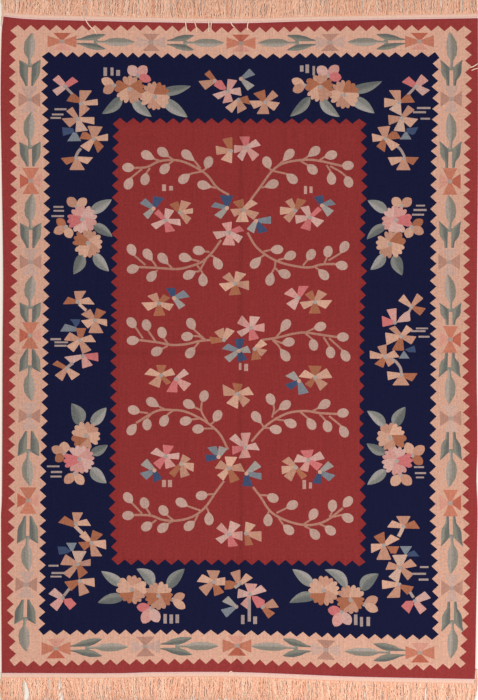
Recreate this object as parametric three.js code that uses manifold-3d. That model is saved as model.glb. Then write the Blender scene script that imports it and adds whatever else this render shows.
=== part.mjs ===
// A flat-woven wool kilim, lying flat and face up, with a fringe at each end.
//
// Units are millimetres and +Z is up. The warps run along Y and the wefts along X.
// The origin is under the middle of the whole piece, on the surface it lies on.
//
// The kilim is three pieces:
//   kilim_cloth     the woven cloth, one sheet with the outline that it has after years of use
//   fringe_top      the plain-woven heading at the +Y end, with the warp ends that leave it
//   fringe_bottom   the same at the -Y end

import * as THREE from 'three';
import { mergeVertices } from 'three/addons/utils/BufferGeometryUtils.js';
import Module from 'manifold-3d';

const wasm = await Module();
wasm.setup();

// Driving dimensions of the cloth
const CLOTH_WIDTH = 1220;
const CLOTH_LENGTH = 1695;
const CLOTH_THICKNESS = 3;
const OUTLINE_STEP = 24;

// Driving dimensions of a heading and its warp ends
const HEADING_WIDTH = 9;
const HEADING_THICKNESS = 2.6;
const HEADING_GAP = 0.3;
const HEADING_END_INSET = 1.5;
const LOCK_COUNT = 140;
const LOCK_WIDTH = 6.1;
const LOCK_HEIGHT = 2;
const LOCK_ROOT_DEPTH = 4;
const LOCK_ROOT_LIFT = 0.3;
const FRINGE_LENGTH = 78;
const LENGTH_UNEVENNESS = 9;
const SIDEWAYS_SWAY = 3.2;
const SWAY_DETAIL_SHARE = 0.3;
const CRINKLE = 0.55;
const CRINKLE_TURN = 7;
const TAPER_START = 0.6;
const TIP_WIDTH_SHARE = 0.45;

// Colours seen on the real piece
const RED_WOOL = 0x96302f;
const CREAM_YARN = 0xe3ba9d;

// Each end of the cloth bows and skews. A row gives the distance from the left
// selvedge, and how far the edge lies inside the furthest point of that end.
const TOP_END = [
  { across: 0, inset: 0 },
  { across: 62, inset: 7.5 },
  { across: 190, inset: 11.3 },
  { across: 382, inset: 15.8 },
  { across: 606, inset: 18.4 },
  { across: 765, inset: 14 },
  { across: 959, inset: 10 },
  { across: 1220, inset: 5.6 },
];
const BOTTOM_END = [
  { across: 0, inset: 15.6 },
  { across: 300, inset: 14.9 },
  { across: 389, inset: 17.6 },
  { across: 611, inset: 17.4 },
  { across: 910, inset: 6 },
  { across: 1220, inset: 0 },
];

// Each selvedge wanders a little. A row gives the distance down from the top end
// of the cloth, and how far the selvedge lies inside its furthest point.
const LEFT_SELVEDGE = [
  { down: 0, inset: 6.6 },
  { down: 46, inset: 2.4 },
  { down: 214, inset: 0 },
  { down: 406, inset: 2.8 },
  { down: 656, inset: 6.2 },
  { down: 848, inset: 4.9 },
  { down: 1236, inset: 3.3 },
  { down: 1275, inset: 1 },
  { down: 1695, inset: 2.8 },
];
const RIGHT_SELVEDGE = [
  { down: 0, inset: 0.6 },
  { down: 338, inset: 0 },
  { down: 641, inset: 2.5 },
  { down: 891, inset: 3.6 },
  { down: 1108, inset: 2 },
  { down: 1185, inset: 4.3 },
  { down: 1262, inset: 1.5 },
  { down: 1581, inset: 5.9 },
  { down: 1695, inset: 7.8 },
];

// The slope of a table's curve at one row, from the rows on each side of it
function slopeAt(rows, key, index) {
  const before = rows[Math.max(index - 1, 0)];
  const after = rows[Math.min(index + 1, rows.length - 1)];
  return (after.inset - before.inset) / (after[key] - before[key]);
}

// The inset at any distance, on a smooth curve through the rows of a table
function insetAt(rows, key, distance) {
  const clamped = Math.min(Math.max(distance, 0), rows[rows.length - 1][key]);
  let index = 0;
  while (index < rows.length - 2 && rows[index + 1][key] < clamped) {
    index += 1;
  }
  const span = rows[index + 1][key] - rows[index][key];
  const t = (clamped - rows[index][key]) / span;
  const startWeight = 2 * t ** 3 - 3 * t ** 2 + 1;
  const startSlopeWeight = t ** 3 - 2 * t ** 2 + t;
  const endSlopeWeight = t ** 3 - t ** 2;
  return startWeight * rows[index].inset
    + (1 - startWeight) * rows[index + 1].inset
    + startSlopeWeight * span * slopeAt(rows, key, index)
    + endSlopeWeight * span * slopeAt(rows, key, index + 1);
}

// The two ends: a direction along Y, the table of the edge, and how much more
// restlessly the locks of one end lie than those of the other
const ENDS = {
  top: { out: 1, rows: TOP_END, restlessness: 1 },
  bottom: { out: -1, rows: BOTTOM_END, restlessness: 1.37 },
};

function endEdgeY(end, x) {
  return end.out * (CLOTH_LENGTH / 2 - insetAt(end.rows, 'across', x + CLOTH_WIDTH / 2));
}

function selvedgeX(side, y) {
  const rows = side < 0 ? LEFT_SELVEDGE : RIGHT_SELVEDGE;
  return side * (CLOTH_WIDTH / 2 - insetAt(rows, 'down', CLOTH_LENGTH / 2 - y));
}

// A corner lies where the selvedge meets the end's edge
function cornerOf(end, side) {
  const x = selvedgeX(side, end.out * CLOTH_LENGTH / 2);
  return new THREE.Vector2(x, endEdgeY(end, x));
}

function evenly(from, to, step) {
  const count = Math.max(Math.round(Math.abs(to - from) / step), 1);
  return Array.from({ length: count }, (_, i) => from + (to - from) * i / count);
}

// Anticlockwise from the bottom left corner, one side after another
function clothOutline() {
  const bottomLeft = cornerOf(ENDS.bottom, -1);
  const bottomRight = cornerOf(ENDS.bottom, 1);
  const topRight = cornerOf(ENDS.top, 1);
  const topLeft = cornerOf(ENDS.top, -1);
  const along = (from, to) => evenly(from, to, OUTLINE_STEP);
  return [
    ...along(bottomLeft.x, bottomRight.x).map((x) => new THREE.Vector2(x, endEdgeY(ENDS.bottom, x))),
    ...along(bottomRight.y, topRight.y).map((y) => new THREE.Vector2(selvedgeX(1, y), y)),
    ...along(topRight.x, topLeft.x).map((x) => new THREE.Vector2(x, endEdgeY(ENDS.top, x))),
    ...along(topLeft.y, bottomLeft.y).map((y) => new THREE.Vector2(selvedgeX(-1, y), y)),
  ];
}

// A sheet of even thickness that lies on the floor, with the given outline
function flatSheet(outline, thickness) {
  const geometry = new THREE.ExtrudeGeometry(new THREE.Shape(outline), {
    depth: thickness,
    bevelEnabled: false,
    steps: 1,
  });
  geometry.deleteAttribute('normal');
  geometry.deleteAttribute('uv');
  return mergeVertices(geometry);
}

function toManifold(geometry) {
  return new wasm.Manifold(new wasm.Mesh({
    numProp: 3,
    vertProperties: new Float32Array(geometry.attributes.position.array),
    triVerts: new Uint32Array(geometry.index.array),
  }));
}

function fromManifold(solid) {
  const { vertProperties, triVerts } = solid.getMesh();
  const geometry = new THREE.BufferGeometry();
  geometry.setAttribute('position', new THREE.BufferAttribute(vertProperties, 3));
  geometry.setIndex(new THREE.BufferAttribute(triVerts, 1));
  geometry.computeVertexNormals();
  return geometry;
}

// The heading follows the edge of the cloth, a hair apart from it
function headingOutline(end) {
  const left = cornerOf(end, -1).x + HEADING_END_INSET;
  const right = cornerOf(end, 1).x - HEADING_END_INSET;
  const stations = [...evenly(left, right, OUTLINE_STEP), right];
  const edge = (x, away) => new THREE.Vector2(x, endEdgeY(end, x) + end.out * away);
  const inner = stations.map((x) => edge(x, HEADING_GAP));
  const outer = stations.map((x) => edge(x, HEADING_GAP + HEADING_WIDTH));
  return end.out > 0 ? [...inner, ...outer.reverse()] : [...outer, ...inner.reverse()];
}

// Steps along a lock of warp ends: its share of the length, its height off the
// floor, and how free it is to wander sideways there
const LOCK_STEPS = [
  { share: 0, lift: LOCK_ROOT_LIFT, freedom: 0 },
  { share: 0.14, lift: 0, freedom: 0.5 },
  { share: 0.42, lift: 0, freedom: 1 },
  { share: 0.72, lift: 0, freedom: 1 },
  { share: 1, lift: 0, freedom: 1 },
];

// How fast a lock's own length, lean and crinkle change from one lock to the next
const LENGTH_RATE = 2.4;
const SWAY_RATE = 0.21;
const SWAY_DETAIL_RATE = 0.83;
const PHASE_RATE = 0.9;

function lockShape(end, index) {
  const place = index * end.restlessness;
  const broadSway = Math.sin(place * SWAY_RATE);
  const detailSway = SWAY_DETAIL_SHARE * Math.sin(place * SWAY_DETAIL_RATE);
  return {
    length: FRINGE_LENGTH - LENGTH_UNEVENNESS * (1 + Math.sin(place * LENGTH_RATE)) / 2,
    sway: SIDEWAYS_SWAY * (broadSway + detailSway),
    phase: place * PHASE_RATE,
  };
}

// A lock narrows towards its tip
function taperAt(share) {
  const pastStart = Math.max(share - TAPER_START, 0) / (1 - TAPER_START);
  return 1 - (1 - TIP_WIDTH_SHARE) * pastStart;
}

// The rings of one lock, each a flat-bottomed triangle that rests level on the floor
function lockRings(end, x, index) {
  const { length, sway, phase } = lockShape(end, index);
  const rootY = endEdgeY(end, x) + end.out * (HEADING_GAP + HEADING_WIDTH - LOCK_ROOT_DEPTH);
  const reach = length + LOCK_ROOT_DEPTH - HEADING_WIDTH;
  return LOCK_STEPS.map(({ share, lift, freedom }) => {
    const crinkle = CRINKLE * freedom * Math.sin(phase + CRINKLE_TURN * share);
    const centre = x + sway * share ** 2 + crinkle;
    const y = rootY + end.out * reach * share;
    const taper = taperAt(share);
    const half = LOCK_WIDTH / 2 * taper;
    return [
      [centre - half * end.out, y, lift],
      [centre + half * end.out, y, lift],
      [centre, y, lift + LOCK_HEIGHT * Math.sqrt(taper)],
    ];
  });
}

// All the locks of one end, as one mesh of separate closed prisms
function lockMesh(end) {
  const positions = [];
  const triangles = [];
  const left = cornerOf(end, -1).x + HEADING_END_INSET + LOCK_WIDTH / 2;
  const right = cornerOf(end, 1).x - HEADING_END_INSET - LOCK_WIDTH / 2;
  for (let index = 0; index < LOCK_COUNT; index += 1) {
    const first = positions.length / 3;
    const x = left + (right - left) * index / (LOCK_COUNT - 1);
    const rings = lockRings(end, x, index);
    positions.push(...rings.flat(2));
    for (let ring = 0; ring < rings.length - 1; ring += 1) {
      for (let side = 0; side < 3; side += 1) {
        const a = first + ring * 3 + side;
        const b = first + ring * 3 + (side + 1) % 3;
        triangles.push(a, b + 3, b, a, a + 3, b + 3);
      }
    }
    const last = first + (rings.length - 1) * 3;
    triangles.push(first, first + 1, first + 2, last, last + 2, last + 1);
  }
  const geometry = new THREE.BufferGeometry();
  geometry.setAttribute('position', new THREE.Float32BufferAttribute(positions, 3));
  geometry.setIndex(triangles);
  return geometry;
}

function clothMesh() {
  const material = new THREE.MeshStandardMaterial({ color: RED_WOOL, roughness: 0.95, metalness: 0 });
  const mesh = new THREE.Mesh(flatSheet(clothOutline(), CLOTH_THICKNESS), material);
  mesh.name = 'kilim_cloth';
  return mesh;
}

// A heading and its locks are woven from the same warps, so they are one solid
function fringeMesh(name, end) {
  const heading = toManifold(flatSheet(headingOutline(end), HEADING_THICKNESS));
  const solid = heading.add(toManifold(lockMesh(end)));
  const material = new THREE.MeshStandardMaterial({ color: CREAM_YARN, roughness: 0.9, metalness: 0 });
  const mesh = new THREE.Mesh(fromManifold(solid), material);
  mesh.name = name;
  return mesh;
}

// The whole piece is centred over the origin
const kilim = new THREE.Group();
kilim.add(clothMesh(), fringeMesh('fringe_top', ENDS.top), fringeMesh('fringe_bottom', ENDS.bottom));
const middle = new THREE.Box3().setFromObject(kilim).getCenter(new THREE.Vector3());
kilim.position.set(-middle.x, -middle.y, 0);

export default kilim;
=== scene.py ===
# %% [markdown]
# # A flat-woven wool kilim
#
# The real piece is one cloth of about four by six feet. Cotton warps run from end to end, and dyed wool
# wefts are beaten down over them until they hide them. The pattern is in the wefts, so colour changes
# are flat. At each end a cream heading holds the warps, and the warps leave it as a fringe.
#
# This lesson builds it from the inside out: the cartoon with all its motifs, the cloth that carries the
# cartoon, the wool itself, the headings and the fringe, and at last a floor, light and a camera straight
# above.

# %% Load the solids
import math

import bmesh
import bpy
import numpy as np
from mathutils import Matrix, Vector, noise
from mathutils.geometry import delaunay_2d_cdt


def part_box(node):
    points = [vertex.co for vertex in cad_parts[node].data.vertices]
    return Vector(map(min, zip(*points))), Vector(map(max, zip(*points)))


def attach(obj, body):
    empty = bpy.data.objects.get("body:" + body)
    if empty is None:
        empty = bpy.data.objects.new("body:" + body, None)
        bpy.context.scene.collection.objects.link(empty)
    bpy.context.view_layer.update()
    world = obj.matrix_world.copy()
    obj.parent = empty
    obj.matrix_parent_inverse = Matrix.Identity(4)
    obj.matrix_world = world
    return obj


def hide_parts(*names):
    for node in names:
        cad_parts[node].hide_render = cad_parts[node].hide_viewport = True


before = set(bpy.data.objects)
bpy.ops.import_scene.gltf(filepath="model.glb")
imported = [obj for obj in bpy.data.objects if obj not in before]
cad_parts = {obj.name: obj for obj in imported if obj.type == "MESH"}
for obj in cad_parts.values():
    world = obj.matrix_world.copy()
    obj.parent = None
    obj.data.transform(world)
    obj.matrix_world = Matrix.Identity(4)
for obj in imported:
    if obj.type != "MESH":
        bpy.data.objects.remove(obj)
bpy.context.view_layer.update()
print("solids:", sorted(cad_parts))

# %% [markdown]
# ## Rule the cartoon
#
# A weaver works from a cartoon: the design on squared paper, where a square is one warp wide. Here a
# square is also one point of the photograph, so a motif can be counted off it. All motifs below are in
# squares, across to the right and down from the top, and this step turns squares into metres. The size
# of a square isn't typed in. It follows from the width of the solid, so the cartoon grows and shrinks
# with the cloth.

# %% Squares into metres
SQUARES_ACROSS = 477.7
LEFT_SQUARE = 0.6
TOP_SQUARE = 16.0
VIEW_SQUARES = (478, 700)

cloth_low, cloth_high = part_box("kilim_cloth")
SQUARE = (cloth_high.x - cloth_low.x) / SQUARES_ACROSS


def on_cloth(points):
    """Squares of the cartoon as metres on the floor, one row for each point."""
    squares = np.asarray(points, float).reshape(-1, 2)
    across = cloth_low.x + (squares[:, 0] - LEFT_SQUARE) * SQUARE
    along = cloth_high.y - (squares[:, 1] - TOP_SQUARE) * SQUARE
    return np.column_stack([across, along])


print(f"one square is {SQUARE * 1000:.3f} mm")

# %% [markdown]
# ## Dye the wool
#
# A kilim has a short list of shades, because each is a dye bath. They are written as a paint chart would
# give them, from 0 to 255, and turned into the linear values that Blender's colours use. Each patch of
# the pattern is later made a little lighter or darker, as no two hanks take the dye alike. Most shades
# were matched to the middle colour of an area of the photograph.

# %% Shades
SHADES = {
    "band_red": (153, 57, 56), "tooth_red": (141, 46, 46), "field_red": (142, 49, 49), "navy": (19, 22, 55),
    "ground": (211, 162, 141), "brown": (167, 103, 76), "tan": (190, 139, 118), "peach": (208, 161, 139),
    "cream": (202, 166, 150), "bar_cream": (167, 146, 141), "field_cream": (190, 146, 136),
    "pink": (206, 149, 141), "hot_pink": (202, 112, 113), "pale_pink": (206, 163, 154),
    "blue": (63, 77, 109), "blue_grey": (123, 128, 137), "grey_green": (161, 152, 147),
    "grey": (169, 155, 149), "heart": (174, 150, 139), "leaf_dark": (103, 106, 105),
    "leaf_dusk": (116, 116, 111), "leaf_mid": (132, 131, 127), "leaf_fair": (149, 145, 139),
    "leaf_light": (160, 154, 151), "twin_dark": (106, 107, 103), "twin_mid": (118, 117, 110),
    "twin_light": (134, 131, 120), "bud_dark": (138, 131, 120), "bud_mid": (152, 144, 135),
    "bud_light": (169, 156, 146), "orange": (197, 122, 99), "rust": (186, 100, 80),
    "blush": (213, 150, 133), "taupe": (181, 134, 118), "mauve": (199, 163, 150), "berry": (190, 155, 143),
    "stem": (177, 124, 108), "heading": (245, 204, 184), "twine": (246, 208, 204),
    "yarn_light": (255, 226, 204), "yarn_mid": (253, 206, 178), "yarn_dark": (244, 184, 150),
    # The lowest fringe yarns take a darker dye as painted shade
    "yarn_under_shade": (230, 170, 142),
}


LIGHT_LEVEL = 1.2


def linear(shade):
    """A shade's three linear values, from its name, as they are in light of LIGHT_LEVEL."""
    chart = np.array(SHADES[shade]) / 255
    return np.where(chart <= 0.04045, chart / 12.92, ((chart + 0.055) / 1.055) ** 2.4) / LIGHT_LEVEL


print(len(SHADES), "shades")

# %% [markdown]
# ## Small shapes that everything is built from
#
# A motif is a list of patches, and a patch is a shade with an outline in squares. Later patches lie over
# earlier ones, as in cut paper. Four helpers draw most of it: a stroke for stems, a round for hearts, a
# bar, and a patch from its corners.

# %% Patch helpers
def aimed(degrees):
    """The direction at an angle from straight up the cartoon, clockwise."""
    return np.array((math.sin(math.radians(degrees)), -math.cos(math.radians(degrees))))


def sideways(direction):
    return np.array((-direction[1], direction[0]))


def smooth_path(points, steps=4):
    """A curve through the points, with a few steps between each two."""
    known = np.asarray(points, float)
    if len(known) < 3:
        return known
    padded = np.vstack([2 * known[0] - known[1], known, 2 * known[-1] - known[-2]])
    t = np.arange(steps)[:, None] / steps
    spans = []
    for before, start, end, after in zip(padded, padded[1:], padded[2:], padded[3:]):
        bend = 2 * before - 5 * start + 4 * end - after
        twist = 3 * start - before - 3 * end + after
        spans.append(start + (t * (end - before) + t ** 2 * bend + t ** 3 * twist) / 2)
    return np.vstack([*spans, known[-1:]])


def stroke(shade, points, width, end_width=None):
    """A stem along the points, as wide at its end as end_width says."""
    path = smooth_path(points)
    heading = np.gradient(path, axis=0)
    heading /= np.hypot(*heading.T)[:, None]
    side = np.column_stack([-heading[:, 1], heading[:, 0]])
    half = np.linspace(width, end_width or width, len(path))[:, None] / 2
    return [(shade, np.vstack([path + side * half, (path - side * half)[::-1]]))]


def round_patch(shade, across, down, radius, sides=12):
    turns = np.linspace(0, 2 * math.pi, sides, endpoint=False)
    ring = np.column_stack([np.cos(turns), np.sin(turns)])
    return [(shade, (across, down) + ring * radius)]


def bar(shade, left, top, right, bottom):
    return [(shade, np.array([(left, top), (right, top), (right, bottom), (left, bottom)], float))]


def patch(shade, *corners):
    """One patch of plain weave from its corners."""
    return [(shade, np.array(corners, float))]


# %% [markdown]
# ## Toothed lines between the grounds
#
# Where two grounds meet, they interlock in a row of teeth, because a long straight join along the warps
# would leave a slit. A row starts and ends on a tip, and two rows meet at a corner tip to tip. The rows
# wander by a few millimetres, as the real ones do, so each takes a short table of where its tips lie,
# picked from places measured in the photograph.

# %% Toothed outline
def tooth_row(first, last, tips, line, depth, slips=()):
    """Places along the row and across it. Rows of line are (place along, place of the tips).
    Rows of slips are (place along, how far a tip there has slipped from an even spacing)."""
    along = np.linspace(first, last, 2 * tips - 1)
    knots = np.array(line, float)
    across = np.interp(along, knots[:, 0], knots[:, 1])
    across[1::2] += depth
    ends = np.array([(first, 0), *slips, (last, 0)], float)
    return along + np.interp(along, ends[:, 0], ends[:, 1]), across


def toothed_ground(shade, top, right, bottom, left):
    """A ground with teeth on its four sides."""
    top_along, top_down = tooth_row(**top)
    right_down, right_across = tooth_row(**right)
    bottom_along, bottom_down = tooth_row(**bottom)
    left_down, left_across = tooth_row(**left)
    outline = np.vstack([
        np.column_stack([top_along, top_down]),
        np.column_stack([right_across, right_down]),
        np.column_stack([bottom_along, bottom_down])[::-1],
        np.column_stack([left_across, left_down])[::-1],
    ])
    return [(shade, outline)]


guard_ground = toothed_ground(
    "ground",
    top=dict(first=18, last=464, tips=36, depth=5.6,
        slips=[(90, 0.5), (170, 1.6), (200, 0), (265, -0.6), (320, -3.2), (380, -2)],
        line=[(18, 25), (150, 25.2), (215, 27.2), (262, 27), (330, 26.2), (400, 25), (464, 26)]),
    right=dict(first=31.5, last=663.5, tips=55, depth=-6.8,
        slips=[(160, 0), (195, -5.8), (300, -5.5), (370, -11.3), (545, -11), (645, 0)],
        line=[(31.5, 471.5), (95, 472), (125, 470.6), (295, 469.6), (327, 470.2), (382, 468.6),
        (440, 470.1), (500, 468.8), (590, 470.4), (620, 468.8), (650, 466.6), (663.5, 465.6)]),
    bottom=dict(first=14.5, last=460.5, tips=36, depth=-5.6,
        slips=[(120, 0.2), (150, 1.3), (240, -0.4), (266, -3.4), (320, -3.4), (385, 0), (445, 1.8)],
        line=[(14.5, 666.2), (52, 666.2), (104, 665), (160, 664.4), (235, 663.8), (300, 666.8),
        (357, 668.2), (423, 670.4), (450, 668.8), (460.5, 667.8)]),
    left=dict(first=30.5, last=660, tips=54, depth=6.8,
        slips=[(170, 0), (300, -5.4), (350, -4.2), (395, -7), (545, -7.6), (585, -3.4)],
        line=[(30.5, 10.4), (60, 8.9), (100, 9.2), (150, 10.2), (285, 11), (322, 8.8), (400, 9),
        (451, 8.2), (510, 8.4), (600, 6.8), (621, 7), (640, 8.8), (660, 9.5)]),
)
border_ground = toothed_ground(
    "navy",
    top=dict(first=49, last=435, tips=32, depth=4.9,
        slips=[(86, -1.8), (120, -1.4), (160, -5.8), (198, -5.8), (215, -3.5), (260, -0.8), (298, 1.8),
        (375, -2.7), (410, -2)],
        line=[(49, 51.8), (116, 52.2), (173, 53), (239, 54.2), (306, 52.8), (360, 52.3), (435, 51.9)]),
    right=dict(first=57.8, last=634.4, tips=51, depth=-6.5,
        slips=[(100, 0), (165, -5.6), (205, -5.2), (245, -1.6), (300, -2), (345, -7), (395, -13),
        (440, -9.2), (510, -3.4), (570, -4.8), (612, -1)],
        line=[(57.8, 439.6), (85, 438), (100, 439.2), (160, 437.2), (300, 436.4), (400, 436.8),
        (510, 435.8), (590, 438.8), (634.4, 438.8)]),
    bottom=dict(first=43.5, last=432, tips=32, depth=-5.0,
        slips=[(80, 2.4), (125, 0.6), (180, -3), (210, -2.2), (232, 0.4), (285, 2.3), (320, 2.8),
        (357, -0.8)],
        line=[(43.5, 635.2), (110, 634.6), (210, 634.8), (260, 635.6), (310, 637.2), (350, 638.8),
        (432, 640)]),
    left=dict(first=56.6, last=629.5, tips=50, depth=6.6,
        slips=[(110, 0), (165, -5), (240, -5.2), (300, 0.5), (345, -1), (395, -6), (475, 0), (513, 2.2),
        (560, 0)],
        line=[(56.6, 41.6), (90, 41), (130, 42.3), (200, 43.4), (256, 43.5), (330, 42), (383, 41.8),
        (430, 40.8), (471, 39.7), (575, 39), (629.5, 38.4)]),
)
field_ground = toothed_ground(
    "tooth_red",
    top=dict(first=120, last=359, tips=19, depth=5.2, line=[(120, 117.9), (248, 118.4), (359, 118.7)],
        slips=[(175, 0.3), (200, -1.4), (240, -1.4), (268, -3.2), (294, -0.5), (335, 0.6)]),
    right=dict(first=124, last=562, tips=37, depth=-6.2,
        slips=[(150, 0.3), (165, 2), (306, 0.8), (330, -2.9), (355, -2.8), (385, -6.2), (415, -4),
        (490, -5.8), (540, 0)],
        line=[(124, 366.5), (186, 367.5), (228, 365.2), (271, 367.1), (317, 364.6), (400, 364.2),
        (435, 363.5), (520, 366.5), (562, 365.4)]),
    bottom=dict(first=118, last=359, tips=19, depth=-5.6, line=[(118, 565), (223, 564.8), (359, 566.2)]),
    left=dict(first=124, last=559, tips=37, depth=6.6,
        slips=[(185, 1), (300, 1), (332, -4.6), (485, -4), (535, 0)],
        line=[(124, 112.8), (148, 112.3), (210, 111.7), (300, 110.7), (445, 109.9), (515, 108.7),
        (550, 111.2), (559, 111.4)]),
)
field_middle = bar("field_red", 119.5, 124.5, 359.5, 558.5)
grounds = guard_ground + border_ground + field_ground + field_middle
print("teeth:", sum(len(outline) for _, outline in grounds) // 2)

# %% [markdown]
# ## Guard border: buds, twin leaves and bow-shaped flowers
#
# The light band repeats one sprig: a flower of four wedges, a pair of leaves that open away from it, and
# a bud on a short stalk. It is drawn once in its own directions, along the border from the flower and
# across it, and then turned to run up, down or along an end. Leaves are shaded in three steps from dark
# to light.

# %% Guard border motifs
# For each run of the border: of a flower the reach of a wedge along the border, its half width there,
# the half width of a wedge across the border at the heart and outside, half of the flower's width, and
# the heart along and across. Then the half width of a bud, the place of the joint among the twin leaves,
# and the lean of a bud's tip
GUARD_SHAPES = {
    "left": (13.2, 8.6, 2.2, 7.3, 10.8, 1.9, 2.4, 5.6, 20.3, 2.4),
    "right": (13.3, 7.4, 2.2, 7.9, 10.7, 1.9, 2.4, 5.4, 17.5, 2.0),
    "top": (14.5, 6.0, 1.8, 9.0, 8.6, 2.5, 1.8, 4.2, 19.5, 0.0),
    "bottom": (14.5, 6.7, 1.8, 9.4, 9.8, 2.5, 1.8, 4.2, 15.5, 0.0),
}
TWIN_BANDS = (("twin_light", 1.0), ("twin_mid", 0.6), ("twin_dark", 0.42))
BUD_BANDS = (("bud_light", 1.0), ("bud_mid", 0.62), ("bud_dark", 0.46))

# Twin leaves. Each row: distance along the border, then the near and the far edge from the middle line
LEFT_TWIN = np.array([(0, 1.7, 4.0), (4, 1.7, 5.8), (9.5, 1.7, 9.2), (13, 1.7, 10.3), (20, 1.8, 10.5),
        (22, 3.6, 10.6), (25.5, 10, 10.8)])
RIGHT_TWIN = np.array([(0, 1.9, 4.6), (6, 1.8, 5.4), (10.5, 1.8, 9), (14, 1.8, 10.2), (18, 1.9, 10.3),
        (20.5, 4.4, 10.3), (25.5, 10.3, 11.2)])
TOP_TWIN = np.array([(0, 1.5, 2.4), (5, 1.3, 3.6), (11, 1.2, 6.3), (18, 1.6, 8), (22, 2.8, 8.1),
        (27, 5.6, 7.9), (29, 6.9, 7.4)])
TWINS = {"left": LEFT_TWIN, "right": RIGHT_TWIN, "top": TOP_TWIN, "bottom": TOP_TWIN * (1, 1.16, 1.16)}

# Buds. Each row: share of the way from the twin leaves to the tip, then share of the half width
BUD = np.array([(0, 0.26), (0.22, 0.3), (0.36, 0.85), (0.52, 1), (0.74, 0.92), (0.91, 0.45), (1, 0.08)])


def banded(dark_edge, light_edge, bands):
    """A leaf between two edges, in shades from light over all of it to dark along one edge."""
    across = light_edge - dark_edge
    leaf = []
    for shade, share in bands:
        leaf.append((shade, np.vstack([dark_edge, (dark_edge + across * share)[::-1]])))
    return leaf


def bow_flower(kind, outer_side, run):
    """Four wedges round a small heart, for one run of the border."""
    along, outer, inner = {"orange": ("orange", "rust", "blush"),
            "muted": ("mauve", "taupe", "taupe")}[kind]
    reach, spread, near, far, wide, heart_along, heart_across = GUARD_SHAPES[run][:7]
    wedge = np.array([(1, -1.4), (reach, -spread), (reach, spread), (1, 1.4)])
    cross = np.array([(-near, heart_across), (-far, wide), (far, wide), (near, heart_across)])
    heart = np.array([(-1, -1), (1, -1), (1, 1), (-1, 1)]) * (heart_along, heart_across)
    return [
        (along, wedge), (along, wedge * (-1, 1)), (outer, cross * (1, outer_side)),
        (inner, cross * (1, -outer_side)), ("heart", heart),
    ]


def sprig(twin_from, twin_to, bud_to, outer_side, run):
    """Twin leaves and a bud, at distances along the border from the middle of their flower."""
    rows = TWINS[run]
    bud_wide, joint_at, lean = GUARD_SHAPES[run][7:]
    stretch = (twin_to - twin_from) / rows[-1, 0]
    along = twin_from + rows[:, 0] * stretch
    joint = twin_from + joint_at * stretch
    motif = []
    for side in (1, -1):
        near = np.column_stack([along, rows[:, 1] * side])
        far = np.column_stack([along, rows[:, 2] * side])
        motif += banded(far, near, TWIN_BANDS) if side == outer_side else banded(near, far, TWIN_BANDS)
    motif += bar("twin_light", joint - 2, -2.2, joint + 2, 2.2)
    t = BUD[:, 0]
    along = joint + t * (bud_to - joint)
    spine = outer_side * lean * (0.35 * np.sin(math.pi * t) - 0.9 * t**5)
    half = BUD[:, 1] * bud_wide * outer_side
    dark_edge = np.column_stack([along, spine + half])
    light_edge = np.column_stack([along, spine - half])
    return motif + banded(dark_edge, light_edge, BUD_BANDS)


def turned(motif, grows):
    """A motif drawn along the border and across it, turned to grow in a direction."""
    along = np.array(grows, float)
    return [(shade, outline @ np.array([along, sideways(along)])) for shade, outline in motif]


# %% [markdown]
# The places of the sprigs follow the photograph. On the sides they grow away from the middle flower, and
# on the two ends they grow towards it. Each row of a table gives one sprig: the flower's place along the
# border, how far its twin leaves and its bud reach from there, and its kind. The middle line of a run
# wavers, as the warps did under the weaver's hands, so every run has a line that its sprigs follow.

# %% Guard border places
UP, DOWN, RIGHT, LEFT = (0, -1), (0, 1), (1, 0), (-1, 0)

# Each line: places along the border, then how far across the cloth its middle is there
LEFT_LINE = (
    (62, 99, 181, 262, 335, 416, 470, 501, 555, 584, 612, 650),
    (30, 29.2, 30.8, 30.6, 30.2, 29.4, 28, 28.2, 27.4, 26.2, 25.2, 24.4),
)
RIGHT_LINE = (
    (99, 130, 181, 210, 235, 262, 312, 339, 365, 390, 418, 470, 503, 530, 558, 588, 645),
    (451.3, 450.7, 449.8, 450.3, 449.5, 449, 450.6, 450.3, 449.4, 449.6, 450.8, 451, 450.2, 451.2, 452.4,
     451.8, 452.3),
)
TOP_LINE = ((62, 151, 241, 330, 419), (41.4, 42.4, 43.2, 42.4, 41.4))
BOTTOM_LINE = ((56, 145, 205, 237, 270, 326, 360, 420),
        (648.7, 646.4, 646.1, 645.7, 646.6, 649.8, 652, 652.8))

# Each row: flower, twin leaves from, to, bud to, kind, direction
LEFT_GUARD = [
    (99.5, 13.5, 39.5, 66.5, "muted", UP), (181, 14.5, 39, 69, "orange", UP),
    (262, 14, 39, 68.5, "muted", UP),
    (335.5, 11.5, 33, 60, "orange", UP), (335.5, 13.5, 36.5, 65.5, "orange", DOWN),
    (416, 15, 40, 70, "muted", DOWN), (500.5, 15.5, 43, 70.5, "orange", DOWN),
    (584.5, 15, 39.5, 67, "muted", DOWN),
]
RIGHT_GUARD = [
    (99, 12.5, 39, 67, "muted", UP), (181.5, 13.5, 40, 68.5, "orange", UP),
    (262, 14, 40.5, 67, "muted", UP),
    (339.5, 14.5, 36.5, 65, "orange", UP), (339.5, 12.5, 37.5, 64.5, "orange", DOWN),
    (418.5, 13.5, 41.5, 68.5, "muted", DOWN), (503, 13, 43, 71, "orange", DOWN),
    (588, 13.5, 43.5, 70.5, "muted", DOWN),
]
TOP_GUARD = [
    (62, 14, 43.5, 73, "orange", RIGHT), (151, 16, 43, 73, "muted", RIGHT),
    (330, 13, 43, 72, "muted", LEFT), (419.5, 14, 43, 72, "orange", LEFT),
]
BOTTOM_GUARD = [
    (56, 14, 46, 72, "orange", RIGHT), (145.5, 14.8, 46.5, 73, "muted", RIGHT),
    (326, 15, 43, 75, "muted", LEFT), (420, 14.5, 46.5, 75.5, "orange", LEFT),
]


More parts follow.
